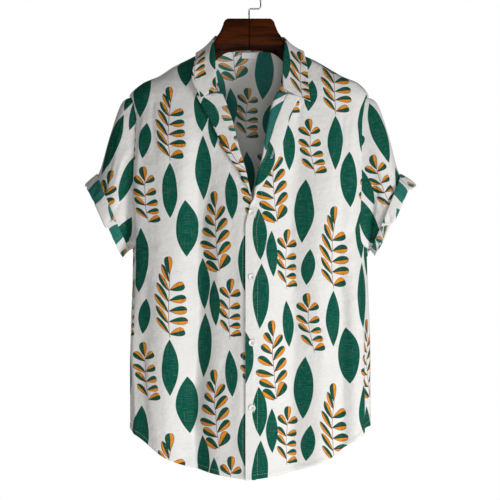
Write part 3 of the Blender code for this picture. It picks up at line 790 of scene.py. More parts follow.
def patch(left, right, low, high, p, t, corners):
    """A surface between four edges, in (angle, height)."""
    low_left, low_right, high_left, high_right = corners
    return [
        (1 - p) * left[i] + p * right[i] + (1 - t) * low[i] + t * high[i]
        - (1 - p) * (1 - t) * low_left[i] - p * (1 - t) * low_right[i]
        - (1 - p) * t * high_left[i] - p * t * high_right[i]
        for i in (0, 1)
    ]


def back_place(p, row):
    """(angle, height). row is 0 at the hem, 1 at the underarm and 2 at the shoulders."""
    angle = 90.0 + 180.0 * p
    hem = hem_height(angle)
    low_z = hem + (UNDERARM_Z - hem) * np.minimum(row, 1.0)
    t = np.maximum(row - 1.0, 0.0)
    arm, arm_z = armhole_turn(t)
    rise = np.minimum(np.minimum(p, 1 - p) / SHOULDER_SHARE, 1.0)
    u = np.clip((p - SHOULDER_SHARE) / (1 - 2 * SHOULDER_SHARE), 0.0, 1.0)
    high = (
        90.0 + 180.0 * u,
        SHOULDER_Z + (NECK_Z - SHOULDER_Z) * rise + (BACK_NECK_Z - NECK_Z) * np.sin(math.pi * u),
    )
    corners = (90.0, UNDERARM_Z), (270.0, UNDERARM_Z), (90.0, SHOULDER_Z), (270.0, SHOULDER_Z)
    upper = patch(
        (180.0 - arm, arm_z), (180.0 + arm, arm_z), (angle, UNDERARM_Z), high, p, t, corners
    )
    low = row <= 1.0
    return np.where(low, angle, upper[0]), np.where(low, low_z, upper[1])


def hem_roll(rise):
    """The turned-up hem stands a little proud, with a dent above it."""
    proud = HEM_PROUD * (1 - ease((rise - HEM_TURN) / HEM_SOFT))
    return proud + HEM_DENT * hump(rise, HEM_DENT_UP, HEM_DENT_HALF)


def give_wall(piece, wall):
    solid = piece.modifiers.new("wall", "SOLIDIFY")
    solid.thickness, solid.offset = wall * MM, 0
    return solid


def lay_cloth(
    name, work, points, print_mm, cut, flip=False, wall=WALL, keep=None, weld=False,
    faces=(RIGHT_SIDE, WRONG_SIDE), even=True,
):
    """Puts the shaped grid's points and print places in, and gives the cloth its wall."""
    put(work, points)
    layer = work.loops.layers.uv.new("cloth")
    laid = (print_mm + np.array(CUT_FROM[cut])) * MM
    for face in work.faces:
        for loop in face.loops:
            loop[layer].uv = laid[loop.vert.index]
    if keep is not None:
        spare = [f for f in work.faces if not all(keep[v.index] for v in f.verts)]
        bmesh.ops.delete(work, geom=spare, context="FACES")
    if weld:
        bmesh.ops.remove_doubles(work, verts=work.verts, dist=WELD)
    if flip:
        bmesh.ops.reverse_faces(work, faces=work.faces)
    piece = make_piece(name, work, *faces)
    solid = give_wall(piece, wall)
    solid.use_even_offset = even
    solid.material_offset = 1
    return piece


def back_panel():
    work, p, row = grid_mesh(BACK_COLUMNS, BODY_ROWS)
    angle, z = back_place(p, 2 * row)
    points = body_point(angle, z, hem_roll(z - hem_height(angle)))
    points[:, 1] = np.maximum(points[:, 1], 0.0)
    turned = -(cloth_across(angle, z) - cloth_across(np.full_like(z, 180.0), z))
    print_mm = np.stack((turned, cloth_up(z)), 1)
    return lay_cloth("back_cloth", work, points, print_mm, "back")


back_cloth = back_panel()
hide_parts("back")

# ------------------------ fronts
# Two panels, the wearer's left over the right. Below the V each front edge is folded in to
# make a placket, above it the edge is turned out as a lapel that shows the wrong side.

FRONT_LAP, FLAP_RADIUS, LAPEL_TOP_Z = 1.3, 2.6, -181.5
LAP_HALF, LAP_FADE = 12, 22  # degrees round the body
# columns: height, x of the edge or roll line, width beyond it, turn of the flap in degrees
RIGHT_FRONT_EDGE = (
    (-870, 3, 8, 0),
    (-392, 3, 8, 0),
    (-379, 2.5, 5, 0),
    (-366, 1, 5, 0),
    (-352, -2, 6, 100),
    (-339, -4.5, 9, 180),
    (-318, -9, 13.5, 180),
    (-298, -14.5, 19.5, 180),
    (-270, -21.5, 26, 180),
    (-236, -30, 31.5, 180),
    (-210, -38.5, 36, 180),
    (-182, -49.5, 38, 180),
    (-165, -56, 38, 180),
    (-142, -62, 38, 180),
    (-124, -70, 38, 180),
    (-115, -77, 38, 180),
)
LEFT_FRONT_EDGE = (
    (-870, 2, 8, 0),
    (-410, 2, 8, 0),
    (-392, 5.5, 7.5, 0),
    (-379, 8.5, 7, 0),
    (-366, 11.5, 7, 75),
    (-352, 12.5, 9, 180),
    (-339, 15, 14.5, 180),
    (-318, 18.5, 20, 180),
    (-296, 24.5, 25, 180),
    (-262, 30, 28.5, 180),
    (-235, 34.5, 31, 180),
    (-210, 40, 34, 180),
    (-182, 51, 35, 180),
    (-165, 57, 35, 180),
    (-142, 63, 35, 180),
    (-124, 71, 35, 180),
    (-115, 78, 35, 180),
)
PANEL_COLUMNS, FLAP_COLUMNS = 96, 22
CROWDING = 1.15  # above 1, columns crowd together towards the roll line
JUST_INSIDE = 0.98
PLACKET, STITCH_LINE, FACING_COLUMNS = 16.0, 14.8, 18
PLACKET_PROUD, PLACKET_SOFT = 0.55, 2.5
PLACKET_DENT, DENT_HALF, PUCKER, PUCKER_HALF = -0.5, 1.1, 0.32, 7.0
FACING_DEEP, FACING_CLOSED, FACING_CURVE = 1.0, 0.75, 0.5
BUTTONHOLE, LAPEL_HOLE_Z, BAR_HALF, SLIT_HALF = 15.0, -287.3, 0.6, 0.75
WORKED_RADIUS = 0.42
HEM_STITCH, STITCH_LIFT = 7.6, 0.5
# What each seam runs over: rows, shares across a front, angles. columns: from, to, points
PLACKET_RUN, FRONT_HEM_RUN, BACK_HEM_RUN = (0.012, 1.72, 500), (0.01, 0.99, 300), (92, 268, 400)
# columns: across, height
BUTTON_PLACES = ((4.5, -388), (4.5, -496), (5.0, -605), (5.0, -714))


def edge_line(edge, z):
    return body_angle(read(edge, z)[0], z)


def front_place(side, edge, p, row):
    """(angle, height), p from the side seam to the edge or roll line."""
    outer = 90.0 * side
    top = edge_line(edge, np.array(UNDERARM_Z))
    hem = hem_height(outer + (top - outer) * p)
    low_z = hem + (UNDERARM_Z - hem) * np.minimum(row, 1.0)
    low_angle = outer + (edge_line(edge, low_z) - outer) * p
    t = np.maximum(row - 1.0, 0.0)
    arm, arm_z = armhole_turn(t)
    inner_z = UNDERARM_Z + (NECK_Z - UNDERARM_Z) * t
    start = (top, UNDERARM_Z)
    low = (outer + (top - outer) * p, UNDERARM_Z)
    high = (outer, SHOULDER_Z + (NECK_Z - SHOULDER_Z) * p)
    corners = (outer, UNDERARM_Z), start, (outer, SHOULDER_Z), (outer, NECK_Z)
    inner = (edge_line(edge, inner_z), inner_z)
    upper = patch((arm * side, arm_z), inner, low, high, p, t, corners)
    below = row <= 1.0
    return np.where(below, low_angle, upper[0]), np.where(below, low_z, upper[1])


def front_lap(side, angle):
    """The left front stands proud of the body and the right one in, near the middle."""
    return side * FRONT_LAP * (1 - ease((np.abs(angle) - LAP_HALF) / LAP_FADE))


def front_point(side, edge, p, row, out=0.0):
    angle, z = front_place(side, edge, p, row)
    points = body_point(angle, z, front_lap(side, angle) + out)
    points[..., 1] = np.minimum(points[..., 1], 0.0)
    return points


def beyond_edge(side, edge, along, row, under=0.0):
    """A point at a distance past the roll line, negative on the panel, moved to its wrong side."""
    ones = np.ones_like(along)
    z = front_place(side, edge, ones, row)[1]
    _, _, turn = read(edge, z)
    turn = np.radians(np.clip(turn, 0, 180))
    bent = FLAP_RADIUS * turn
    a = np.clip(along, 0, bent) / FLAP_RADIUS
    rest = np.maximum(along - bent, 0)
    forward = (FLAP_RADIUS + under) * np.sin(a) + rest * np.cos(turn)
    height = FLAP_RADIUS - (FLAP_RADIUS + under) * np.cos(a) + rest * np.sin(turn)
    forward = forward + np.minimum(along, 0)
    across = np.linalg.norm(
        front_point(side, edge, ones, row) - front_point(side, edge, ones - 1, row), axis=-1
    )
    tip = front_point(side, edge, 1 + np.minimum(forward, 0) / across, row, height)
    behind = front_point(side, edge, JUST_INSIDE * ones, row, height)
    ahead = tip - behind
    ahead = ahead / np.linalg.norm(ahead, axis=-1)[..., None]
    return tip + ahead * np.maximum(forward, 0)[..., None]


def panel_place(side, edge, share, row, total):
    """Share across the panel, distance past the roll line and distance in from the free edge."""
    column = np.round(share * total)
    p = np.minimum(column / PANEL_COLUMNS, 1.0)
    p = 1 - (1 - p) ** CROWDING
    angle, z = front_place(side, edge, p, row)
    width = read(edge, z)[1]
    along = np.maximum(column - PANEL_COLUMNS, 0) / FLAP_COLUMNS * width
    roll = front_place(side, edge, np.ones_like(p), row)
    inside = np.abs(cloth_across(*roll) - cloth_across(angle, z))
    return p, angle, z, along, width - along + inside


def placket_rise(from_edge, z):
    """Two thicknesses of cloth, the dent of the stitch line and the slight pucker beside it."""
    double = PLACKET_PROUD * (1 - ease((from_edge - PLACKET + 1) / PLACKET_SOFT))
    dent = PLACKET_DENT * hump(from_edge, STITCH_LINE, DENT_HALF)
    uneven = np.sin(z / 2.3 + 2.1 * np.sin(z / 31.0)) * (0.5 + 0.5 * np.sin(z / 17.0))
    return double + dent + PUCKER * hump(from_edge, STITCH_LINE, PUCKER_HALF) * uneven


def front_panel(name, side, edge, cut):
    total = PANEL_COLUMNS + FLAP_COLUMNS
    work, share, row = grid_mesh(total, BODY_ROWS)
    row = 2 * row
    p, angle, z, along, from_edge = panel_place(side, edge, share, row, total)
    rise = hem_roll(z - hem_height(angle)) + placket_rise(from_edge, z)
    points = front_point(side, edge, p, row, rise)
    flap = along > 0
    points[flap] = beyond_edge(side, edge, along[flap], row[flap], -rise[flap])
    print_mm = np.stack((cloth_across(angle, z) - side * along, cloth_up(z)), 1)
    keep = ~flap | (z <= LAPEL_TOP_Z)
    return lay_cloth(name, work, points, print_mm, cut, side > 0, keep=keep)


def placket_facing(name, side, edge, cut):
    """The folded-in strip behind the front edge, printed side away from the front."""
    work, share, row = grid_mesh(FACING_COLUMNS, BODY_ROWS)
    row = 2 * row
    z = front_place(side, edge, np.ones_like(row), row)[1]
    width = read(edge, z)[1]
    from_edge = PLACKET * (1 - share)
    under = FACING_DEEP - FACING_CLOSED * np.exp(-from_edge / FACING_CURVE)
    points = beyond_edge(side, edge, width - from_edge, row, under)
    print_mm = np.stack((side * (PLACKET / 2 - from_edge), cloth_up(z)), 1)
    return lay_cloth(name, work, points, print_mm, cut, side < 0, keep=z <= LAPEL_TOP_Z)


def sew_line(work, points, outward, radius=0.22, length=2.3, pitch=3.1):
    """Short rounded stitches laid along a line of points in millimetres."""
    steps = np.linalg.norm(np.diff(points, axis=0), axis=1)
    run = np.concatenate(([0], np.cumsum(steps)))

    def found(at, values):
        return Vector([np.interp(at, run, values[:, i]) for i in range(3)])

    for at in np.arange(pitch / 2, run[-1], pitch):
        here, up = found(at, points), found(at, outward).normalized()
        ahead = found(at + 0.5, points) - here
        if ahead.length < 0.01:
            continue
        ahead.normalize()
        aside = up.cross(ahead).normalized()
        frame_of = Matrix((ahead * length / 2, aside * radius, up * radius)).transposed() * MM
        place = Matrix.Translation(here * MM) @ frame_of.to_4x4()
        bmesh.ops.create_icosphere(work, subdivisions=1, radius=1.0, matrix=place)


def across_edge(side, edge, from_edge, row, under):
    """A line of points at one distance in from the free edge, and their outward directions."""
    z = front_place(side, edge, np.ones_like(row), row)[1]
    along = read(edge, z)[1] - from_edge
    skin = beyond_edge(side, edge, along, row, under)
    out = beyond_edge(side, edge, along, row, under + (1 if under > 0 else -1))
    return skin, out - skin


def mottled(name, colour, dark, light, scale, rough, detail=1.0):
    """A material whose colour drifts between two, as thread and shell do."""
    material, shader, place = new_material(name, colour)
    drift = noise(place, scale, detail)
    feed_named(shader, {"Base Color": blend("RGBA", drift, dark, light), "Roughness": rough})
    return material, shader


def buttonhole(work, side, edge, z, under, middle):
    """A slit worked round with close thread, upright at one distance in from the edge."""
    low, high = z - BUTTONHOLE / 2, z + BUTTONHOLE / 2
    rows = np.linspace(0.0, 2.0, 801)
    levels = front_place(side, edge, np.ones_like(rows), rows)[1]
    # columns: shift aside, from, to, points, length and pitch of its stitches
    ways = [(shift, low, high, 24, 0.95, 0.62) for shift in (-SLIT_HALF, SLIT_HALF)]
    for end in (low, high):
        for shift in (-BAR_HALF, 0.0, BAR_HALF):
            ways.append((shift, end - BAR_HALF, end + BAR_HALF, 3, 1.0, 0.8))
    for shift, start, stop, count, length, pitch in ways:
        row = np.interp(np.linspace(start, stop, count), levels, rows)
        skin, out = across_edge(side, edge, middle + shift, row, under)
        sew_line(work, skin, out, WORKED_RADIUS, length, pitch)


def sew_hem(work, angle, lap):
    z = hem_height(angle) + HEM_STITCH
    skin = body_point(angle, z, lap + WALL / 2 + STITCH_LIFT)
    sew_line(work, skin, body_point(angle, z, 5.0) - skin)


FRONTS = (
    ("right", -1, RIGHT_FRONT_EDGE),
    ("left", 1, LEFT_FRONT_EDGE),
)
THREAD, _ = mottled(
    "cotton thread", (0.70, 0.69, 0.65), (0.60, 0.59, 0.55), (0.78, 0.77, 0.73), 1600.0, 0.75,
)
placket_seams = bmesh.new()
for front_word, front_side, front_edge in FRONTS:
    front_name, facing_name = f"front_cloth_{front_word}", f"placket_facing_{front_word}"
    front_cloth = front_panel(front_name, front_side, front_edge, f"front_{front_word}")
    facing = placket_facing(facing_name, front_side, front_edge, f"facing_{front_word}")
    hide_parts(f"front_{front_word}")
    for under in (-WALL / 2 - 0.1, WALL / 2 + 1.1):
        rows = np.linspace(*PLACKET_RUN)
        sew_line(placket_seams, *across_edge(front_side, front_edge, STITCH_LINE, rows, under))
    share = np.linspace(*FRONT_HEM_RUN)
    hem_angle = front_place(front_side, front_edge, share, np.zeros_like(share))[0]
    sew_hem(placket_seams, hem_angle, front_lap(front_side, hem_angle))
sew_hem(placket_seams, np.linspace(*BACK_HEM_RUN), 0.0)
buttonhole(placket_seams, 1, LEFT_FRONT_EDGE, LAPEL_HOLE_Z, WALL / 2 + 1.0, PLACKET / 2)
_, edge_x, past, _ = LEFT_FRONT_EDGE[0]
for button_x, button_z in BUTTON_PLACES:
    middle = button_x - edge_x + past
    buttonhole(placket_seams, 1, LEFT_FRONT_EDGE, button_z, -WALL / 2 - 0.6, middle)
make_piece("placket_stitches", placket_seams, THREAD)

# ------------------------ sleeves
# Short set-in sleeves, each one tube seamed under the arm. They hang flat beside the body,
# with a few drag creases from the shoulder and under the arm.

# columns: top x, top z, bottom x, bottom z, half depth
SLEEVE_RINGS = {
    "right": (
        (-217, -203, -201, -449, 37),
        (-236, -257, -202, -450, 42),
        (-253.5, -317, -205, -447, 45),
        (-270, -340, -214, -454, 45),
    ),
    "left": (
        (218, -203, 204, -449, 37),
        (237, -257, 205, -450, 42),
        (253.5, -317, 208, -447, 45),
        (272, -340, 218, -454, 45),
    ),
}
ARMHOLE_GAP, SEAM_DIP = 1.3, 0.4
SLEEVE_ROUND, SLEEVE_ROWS, BACK_SETTLES = 112, 60, 55.0
TUBE_A_DEGREE, SLEEVE_LONG, SLEEVE_TUCKED = 2.1, 95.0, 4.0
# Creases of a sleeve. columns: turn and share along at one end, the same at the other,
# half width, depth. Turn 0 is the top, 90 the front.
SLEEVE_CREASES = (
    (30, 0.05, 50, 0.8, 7, -1.8),
    (52, 0.45, 60, 1.25, 8, -5.5),
    (70, 0.0, 76, 0.7, 8, 2.2),
    (98, 0.05, 94, 0.9, 7, -2.4),
    (124, 0.0, 112, 0.75, 7, 2.0),
    (150, 0.1, 128, 0.95, 8, -2.2),
    (168, 0.2, 150, 1.0, 7, 1.4),
    (-35, 0.05, -52, 0.8, 8, -1.8),
    (-80, 0.0, -88, 0.8, 8, 1.6),
    (-125, 0.05, -115, 0.9, 8, -2.0),
    (-158, 0.1, -140, 1.0, 7, 1.5),
)


def ring_stations(rings, degrees):
    """Points of each ring of a tube at these turns."""
    u, v = np.cos(np.radians(degrees)), np.sin(np.radians(degrees))
    found = []
    for top_x, top_z, low_x, low_z, depth in rings:
        x = (top_x + low_x) / 2 + (top_x - low_x) / 2 * u
        z = (top_z + low_z) / 2 + (top_z - low_z) / 2 * u
        found.append(np.stack((x, -depth * v, z), -1))
    return found


def armhole_ring(side, degrees, inward):
    """The armhole seam, moved out along X, and then tucked in under the body's edge."""
    around = degrees % 360.0
    front = around <= 180.0
    turn = np.where(front, around, 360.0 - around)
    arm, z = armhole_turn(1 - turn / 180.0)
    angle = side * np.where(front, arm, 180.0 - arm)
    points = body_point(angle, z, -inward * SEAM_DIP)
    points[:, 0] += side * (ARMHOLE_GAP - inward)
    return points


def through(stations, along):
    """A smooth way through the stations at a share along it, by cubic weights."""
    count = len(stations)
    at = along * (count - 1)
    k = np.clip(at.astype(int), 0, count - 2)
    u = (at - k)[:, None]
    stack = np.stack(stations)
    rows = np.arange(stack.shape[1])
    low, high = stack[k, rows], stack[k + 1, rows]
    before, after = stack[np.maximum(k - 1, 0), rows], stack[np.minimum(k + 2, count - 1), rows]
    start = np.where((k == 0)[:, None], high - low, (high - before) / 2)
    end = np.where((k == count - 2)[:, None], high - low, (after - low) / 2)
    return (
        low * (1 + 2 * u) * (1 - u) ** 2 + high * u * u * (3 - 2 * u)
        + start * u * (1 - u) ** 2 + end * u * u * (u - 1)
    )


def tube_outward(points, columns, rows):
    """Outward directions of a tube's grid, from its neighbours."""
    net = points.reshape(rows + 1, columns + 1, 3)
    round_way = np.gradient(net, axis=1)
    round_way[:, 0] = round_way[:, -1] = net[:, 1] - net[:, -2]
    cross = np.cross(round_way, np.gradient(net, axis=0))
    cross /= np.linalg.norm(cross, axis=-1)[..., None]
    centre = net[:, :-1].mean(axis=1, keepdims=True)
    facing = np.sign(((net - centre) * cross).sum(axis=-1).mean())
    return (cross * facing).reshape(-1, 3)


def planar_print(points, columns, rows, side, start, up):
    """Print places on a hanging tube: level with its front, carried over its top and level
    with its back again."""
    net = points.reshape(rows + 1, columns + 1, 3)
    hops = np.diff(net, axis=1)
    hidden = np.linalg.norm(hops, axis=-1) - np.hypot(hops[..., 0], hops[..., 2])
    total = np.concatenate((np.zeros((rows + 1, 1)), np.cumsum(hidden, axis=1)), axis=1)
    middle = columns // 2
    up = np.array(up) / math.hypot(*up)
    flat = net[..., (0, 2)] - np.array(start)
    inward = -side * (flat @ np.array((up[1], -up[0])))
    top = inward[:, middle : middle + 1]
    wrapped = np.abs(total - total[:, middle : middle + 1])
    front = middle + columns // 4
    off = np.arange(columns + 1) - middle
    half = np.sign(off)
    carried = half * (wrapped - top) + top - wrapped[:, front : front + 1]
    over_top = ease(1 + off / (BACK_SETTLES * columns / 360.0))
    carried = over_top * carried + (1 - over_top) * carried.mean(axis=0)
    return np.stack((-side * (half * inward + carried), flat @ up), -1).reshape(-1, 2)


def tube_creases(rows, degrees, along, long):
    """Creases given by turn and by share along a tube."""
    scale = np.array((TUBE_A_DEGREE, long, TUBE_A_DEGREE, long, 1, 1))
    return crease_depth(degrees * TUBE_A_DEGREE, along * long, np.array(rows) * scale)


def sleeve_cloth(word, side):
    rings = SLEEVE_RINGS[word]
    work, turn, along = grid_mesh(SLEEVE_ROUND, SLEEVE_ROWS)
    degrees = 360.0 * turn - 180.0
    stations = [armhole_ring(side, degrees, SLEEVE_TUCKED)] + ring_stations(rings, degrees)
    points = through(stations, along)
    outward = tube_outward(points, SLEEVE_ROUND, SLEEVE_ROWS)
    points += outward * tube_creases(SLEEVE_CREASES, degrees, along, SLEEVE_LONG)[:, None]
    start, top = rings[0][0:2], rings[-1][0:2]
    up = (start[0] - top[0], start[1] - top[1])
    print_mm = planar_print(points, SLEEVE_ROUND, SLEEVE_ROWS, side, start, up)
    cut = f"sleeve_{word}"
    return lay_cloth(f"sleeve_cloth_{word}", work, points, print_mm, cut, side < 0, weld=True)


for sleeve_word, sleeve_side in SIDES:
    sleeve = sleeve_cloth(sleeve_word, sleeve_side)
    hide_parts(f"sleeve_{sleeve_word}")

# ------------------------ sleeve turn-ups
# The end of each sleeve is rolled up once, so that its wrong side shows, with a rounded
# fold at the bottom, a loose top edge and a tuck where the roll is caught down.

# columns: top x, top z, bottom x, bottom z, half depth
CUFF_RINGS = {
    "right": (
        (-258, -321, -203, -450, 49.5),
        (-266, -328, -208, -455, 50),
        (-275, -337, -213, -460, 50),
        (-277.0, -340.5, -215, -462.5, 48.8),
        (-275.0, -342.0, -215.5, -460.5, 46.8),
        (-270.0, -340.5, -214, -455.0, 45.4),
    ),
    "left": (
        (258, -321, 206, -450, 49.5),
        (268, -328, 211, -455, 50),
        (278, -337, 217, -460, 50),
        (280.0, -340.5, 219, -462.5, 48.8),
        (278.0, -342.0, 219.5, -460.5, 46.8),
        (272.5, -340.5, 218, -455.0, 45.4),
    ),
}
CUFF_ROUND, CUFF_ROWS, CUFF_LONG = 240, 26, 40.0
CUFF_UP = (0.70, 0.714)  # the way the print runs on a turn-up, along X and Z
# columns as for a sleeve
CUFF_CREASES = (
    (20, 0.0, 34, 0.5, 5, -2.0),
    (40, 0.1, 62, 0.75, 7, -2.6),
    (58, 0.0, 50, 0.6, 6, 1.6),
    (84, 0.0, 96, 0.55, 6, -1.6),
    (128, -0.1, 120, 0.6, 5, 2.4),
    (142, -0.1, 134, 0.7, 5, -2.6),
    (160, 0.0, 150, 0.6, 5, 1.8),
    (-30, 0.0, -44, 0.6, 6, -1.8),
    (-66, 0.1, -58, 0.7, 6, 1.8),
    (-90, 0.0, -78, 0.6, 6, -1.6),
    (-128, 0.0, -140, 0.6, 6, -2.0),
)
# One lapped tuck in each roll. columns: turn at the loose edge, change of turn down the
# roll, how far the cloth is drawn in above it and then more under it, wave of the outer
# corner, flare of the loose edge
CUFF_TUCKS = {"right": (98, 1, 0.5, 2.0, 0.9, 3.0), "left": (111, -32, 5.5, 5.0, 2.0, 1.5)}
TUCK_LAP, TUCK_WIDE, TUCK_RISE, TUCK_REACH = 6.5, 2.8, 1.8, 24.0
TUCK_SHARP, TUCK_TAIL = 4.0, 40.0
TOP_HALF, TOP_FADE = 20, 16  # degrees, where the loose edge stays up
# Where the outer corner and the flare lie. columns: turn in degrees, half width
CORNER, FLARE = (8, 26), (55, 24)
LOOSE_SHARE, SLIDE_SHARE = 0.4, 0.6  # of the roll, from its loose edge


def cuff_cloth(word, side):
    rings, (tuck, slant, above, under, wave, flare) = CUFF_RINGS[word], CUFF_TUCKS[word]
    work, turn, along = grid_mesh(CUFF_ROUND, CUFF_ROWS)
    degrees = 360.0 * turn - 180.0
    points = through(ring_stations(rings, degrees), along)
    up = (-side * CUFF_UP[0], CUFF_UP[1])
    print_mm = planar_print(points, CUFF_ROUND, CUFF_ROWS, side, (0, 0), up)
    print_mm[:, 0] *= -1
    off = degrees - tuck - slant * along
    lap = np.tanh(off / TUCK_WIDE) * hump(off, 0, TUCK_REACH)
    outward = tube_outward(points, CUFF_ROUND, CUFF_ROWS)
    points = through(ring_stations(rings, degrees - TUCK_LAP * lap), along)
    loose = 1 - ease(along / LOOSE_SHARE)
    corner = wave * hump(degrees, *CORNER) * (1 - loose)
    out = tube_creases(CUFF_CREASES, degrees, along, CUFF_LONG) - TUCK_RISE * lap
    out += corner * np.sin(degrees / 5.5 + 3 * along)
    out += flare * hump(degrees, *FLARE) * loose
    top_x, top_z, low_x, low_z, _ = rings[0]
    down = side * np.array((top_z - low_z, 0, low_x - top_x))
    down = down / np.linalg.norm(down)
    below = (1 + np.tanh(off / TUCK_SHARP)) / 2 * np.exp(-np.maximum(off, 0) / TUCK_TAIL)
    slide = corner * np.sin(degrees / 4.1 + 1)
    slide -= above * ease((np.abs(degrees) - TOP_HALF) / TOP_FADE) + under * below
    slide *= ease(along / SLIDE_SHARE)
    points = points + outward * out[:, None] + down * slide[:, None]
    return lay_cloth(
        f"cuff_cloth_{word}", work, points, print_mm, f"cuff_{word}", side < 0, weld=True,
        faces=(WRONG_SIDE, RIGHT_SIDE), even=False,
    )


for cuff_word, cuff_side in SIDES:
    cuff = cuff_cloth(cuff_word, cuff_side)
    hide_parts(f"cuff_{cuff_word}")

# ------------------------ collar
# A camp collar: two layers of the cloth with a thin interlining, joined at the middle back,
# turned and edge-stitched, sewn round the neck and folded over along its roll.

# columns: seam x, y, z, roll x, y, z, edge x, y, z
COLLAR_RIGHT = (
    (-53.0, -41, -168, -56.0, -51, -179, -81.5, -61, -194),
    (-57.0, -32, -148, -57.0, -40, -146, -96.5, -46, -161),
    (-64.0, -20, -129, -58.5, -25, -116, -93.5, -35, -139),
    (-73.0, -8, -116, -61.0, -10, -99, -91.0, -19, -125),
    (-75.0, 4, -111, -61.5, 4, -91, -89.5, 0, -115),
    (-60.0, 19, -108, -53.0, 24, -86, -72.0, 35, -120),
    (-32.0, 23, -108, -29.0, 31, -85, -38.0, 39, -126),
)
COLLAR_BACK = (0.0, 24, -108, 0.0, 33, -85, 0.0, 42, -128)
COLLAR_LEFT = (
    (54.0, -42, -168, 58.0, -55, -178, 103.0, -64, -201),
    (58.0, -32, -148, 57.5, -40, -146, 100.0, -47, -172),
    (65.0, -20, -129, 59.0, -25, -118, 98.5, -37, -143),
    (74.0, -8, -116, 62.0, -10, -101, 96.0, -20, -128),
    (76.0, 4, -111, 63.5, 4, -93, 91.5, 0, -112),
    (61.0, 19, -108, 55.5, 24, -87, 73.0, 35, -118),
    (33.0, 23, -108, 30.0, 31, -85, 39.0, 39, -126),
)
COLLAR_BOW, COLLAR_WALL = 2.0, 1.3
COLLAR_ALONG, COLLAR_ACROSS = 220, 26
COLLAR_LONG, COLLAR_WIDE, LEAF_WIDE = 440.0, 66.0, 40.0
# Shares of the way from the neck seam to the free edge
ROLL_SHARE, COLLAR_STITCH, STITCH_START = 0.4, 0.935, 0.47
END_STITCH = 4.0 / COLLAR_LONG
# columns: height, distance in from the edge or the middle back, half width
EDGE_PUFF, EDGE_DENT, JOINT_DENT = (0.35, 2.2, 1.6), (-0.4, 4.4, 0.9), (-0.7, 0.0, 1.6)
LEAF_WAVE = 0.5


def collar_rows(u):
    rows = COLLAR_RIGHT + (COLLAR_BACK,) + COLLAR_LEFT[::-1]
    found = read([(i / (len(rows) - 1), *row) for i, row in enumerate(rows)], u)
    return found[0:3].T, found[3:6].T, found[6:9].T


def collar_point(u, share, out=0.0):
    """u runs round the neck, share from the neck seam over the roll to the free edge."""
    seam, roll, edge = collar_rows(u)
    ahead = collar_rows(np.minimum(u + 0.01, 1))[2] - collar_rows(np.maximum(u - 0.01, 0))[2]
    outward = np.cross(edge - seam, ahead)
    outward /= np.linalg.norm(outward, axis=-1)[:, None]
    stand = np.clip(share / ROLL_SHARE, 0, 1)[:, None]
    leaf = np.clip((share - ROLL_SHARE) / (1 - ROLL_SHARE), 0, 1)[:, None]
    points = seam + (roll - seam) * stand + (edge - roll) * leaf
    return points + outward * (COLLAR_BOW * np.sin(math.pi * leaf) + np.reshape(out, (-1, 1)))


def collar_cloth():
    work, share, u = grid_mesh(COLLAR_ACROSS, COLLAR_ALONG)
    from_seam = np.minimum(np.minimum(u, 1 - u) * COLLAR_LONG, (1 - share) * COLLAR_WIDE)
    out = LEAF_WAVE * np.sin(u * 61 + 3 * share) * np.clip((share - 0.45) / 0.5, 0, 1)
    from_middle = (u - 0.5) * COLLAR_LONG
    for at, row in ((from_seam, EDGE_PUFF), (from_seam, EDGE_DENT), (from_middle, JOINT_DENT)):
        out = out + row[0] * hump(at, *row[1:])
    points = collar_point(u, share, out)
    fine = np.linspace(0, 1, 401)
    line = collar_point(fine, np.full_like(fine, 0.7))
    run = np.concatenate(([0], np.cumsum(np.linalg.norm(np.diff(line, axis=0), axis=1))))
    at = np.interp(u, fine, run)
    left = at > np.interp(0.5, fine, run)
    from_roll = (share - ROLL_SHARE) / (1 - ROLL_SHARE) * LEAF_WIDE
    from_end = np.where(left, run[-1] - at, at)
    print_mm = np.stack((np.where(left, from_roll, -from_roll), from_end), 1)
    print_mm += np.where(left[:, None], CUT_FROM["collar_left"], CUT_FROM["collar_right"])
    return lay_cloth(
        "collar_cloth", work, points, print_mm, "collar", wall=COLLAR_WALL, faces=(RIGHT_SIDE,),
    )


collar = collar_cloth()
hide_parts("collar")

collar_seam = bmesh.new()
ways = [(np.linspace(END_STITCH, 1 - END_STITCH, 500), np.full(500, COLLAR_STITCH))]
for end in (END_STITCH, 1 - END_STITCH):
    ways.append((np.full(40, end), np.linspace(STITCH_START, COLLAR_STITCH, 40)))
for way_u, way_share in ways:
    skin = collar_point(way_u, way_share, COLLAR_WALL / 2 - 0.25)
    sew_line(collar_seam, skin, collar_point(way_u, way_share, 4.0) - skin)
make_piece("collar_stitches", collar_seam, THREAD)

# ------------------------ neck label
# A blank woven tab of white satin ribbon, caught into the neck seam at the middle back.

LABEL_WIDTH, LABEL_HEIGHT, LABEL_TOP_Z, LABEL_WALL = 25.0, 10.0, -113.5, 0.6
LABEL_GAP, LABEL_COLUMNS, LABEL_ROWS = 2.0, 30, 12


def ribbon():
    material, shader, place = new_material("label ribbon", (0.78, 0.78, 0.79))
    _, rib = add_node(place.tree, "ShaderNodeTexWave", place, named={"Scale": 900.0})
    shade = blend("RGBA", rib, (0.93, 0.93, 0.95), (0.82, 0.82, 0.85))
    feed_named(shader, {"Base Color": shade, "Roughness": 0.55})
    return material


def label_tab():
    work, u, v = grid_mesh(LABEL_COLUMNS, LABEL_ROWS)
    x = LABEL_WIDTH * (u - 0.5)
    z = LABEL_TOP_Z - LABEL_HEIGHT * (1 - v)
    top = np.full_like(z, LABEL_TOP_Z)
    skin = body_point(180.0 - body_angle(x, top), top, -LABEL_GAP)
    put(work, np.stack((x, skin[:, 1], z), 1))
    piece = make_piece("label_tab", work, ribbon())
    give_wall(piece, LABEL_WALL)
    return piece


label_piece = label_tab()
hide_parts("label")

# ------------------------ buttons
# Four turned pearly-white shirt buttons with a raised rim and four holes, sewn on with
# crossed white thread.

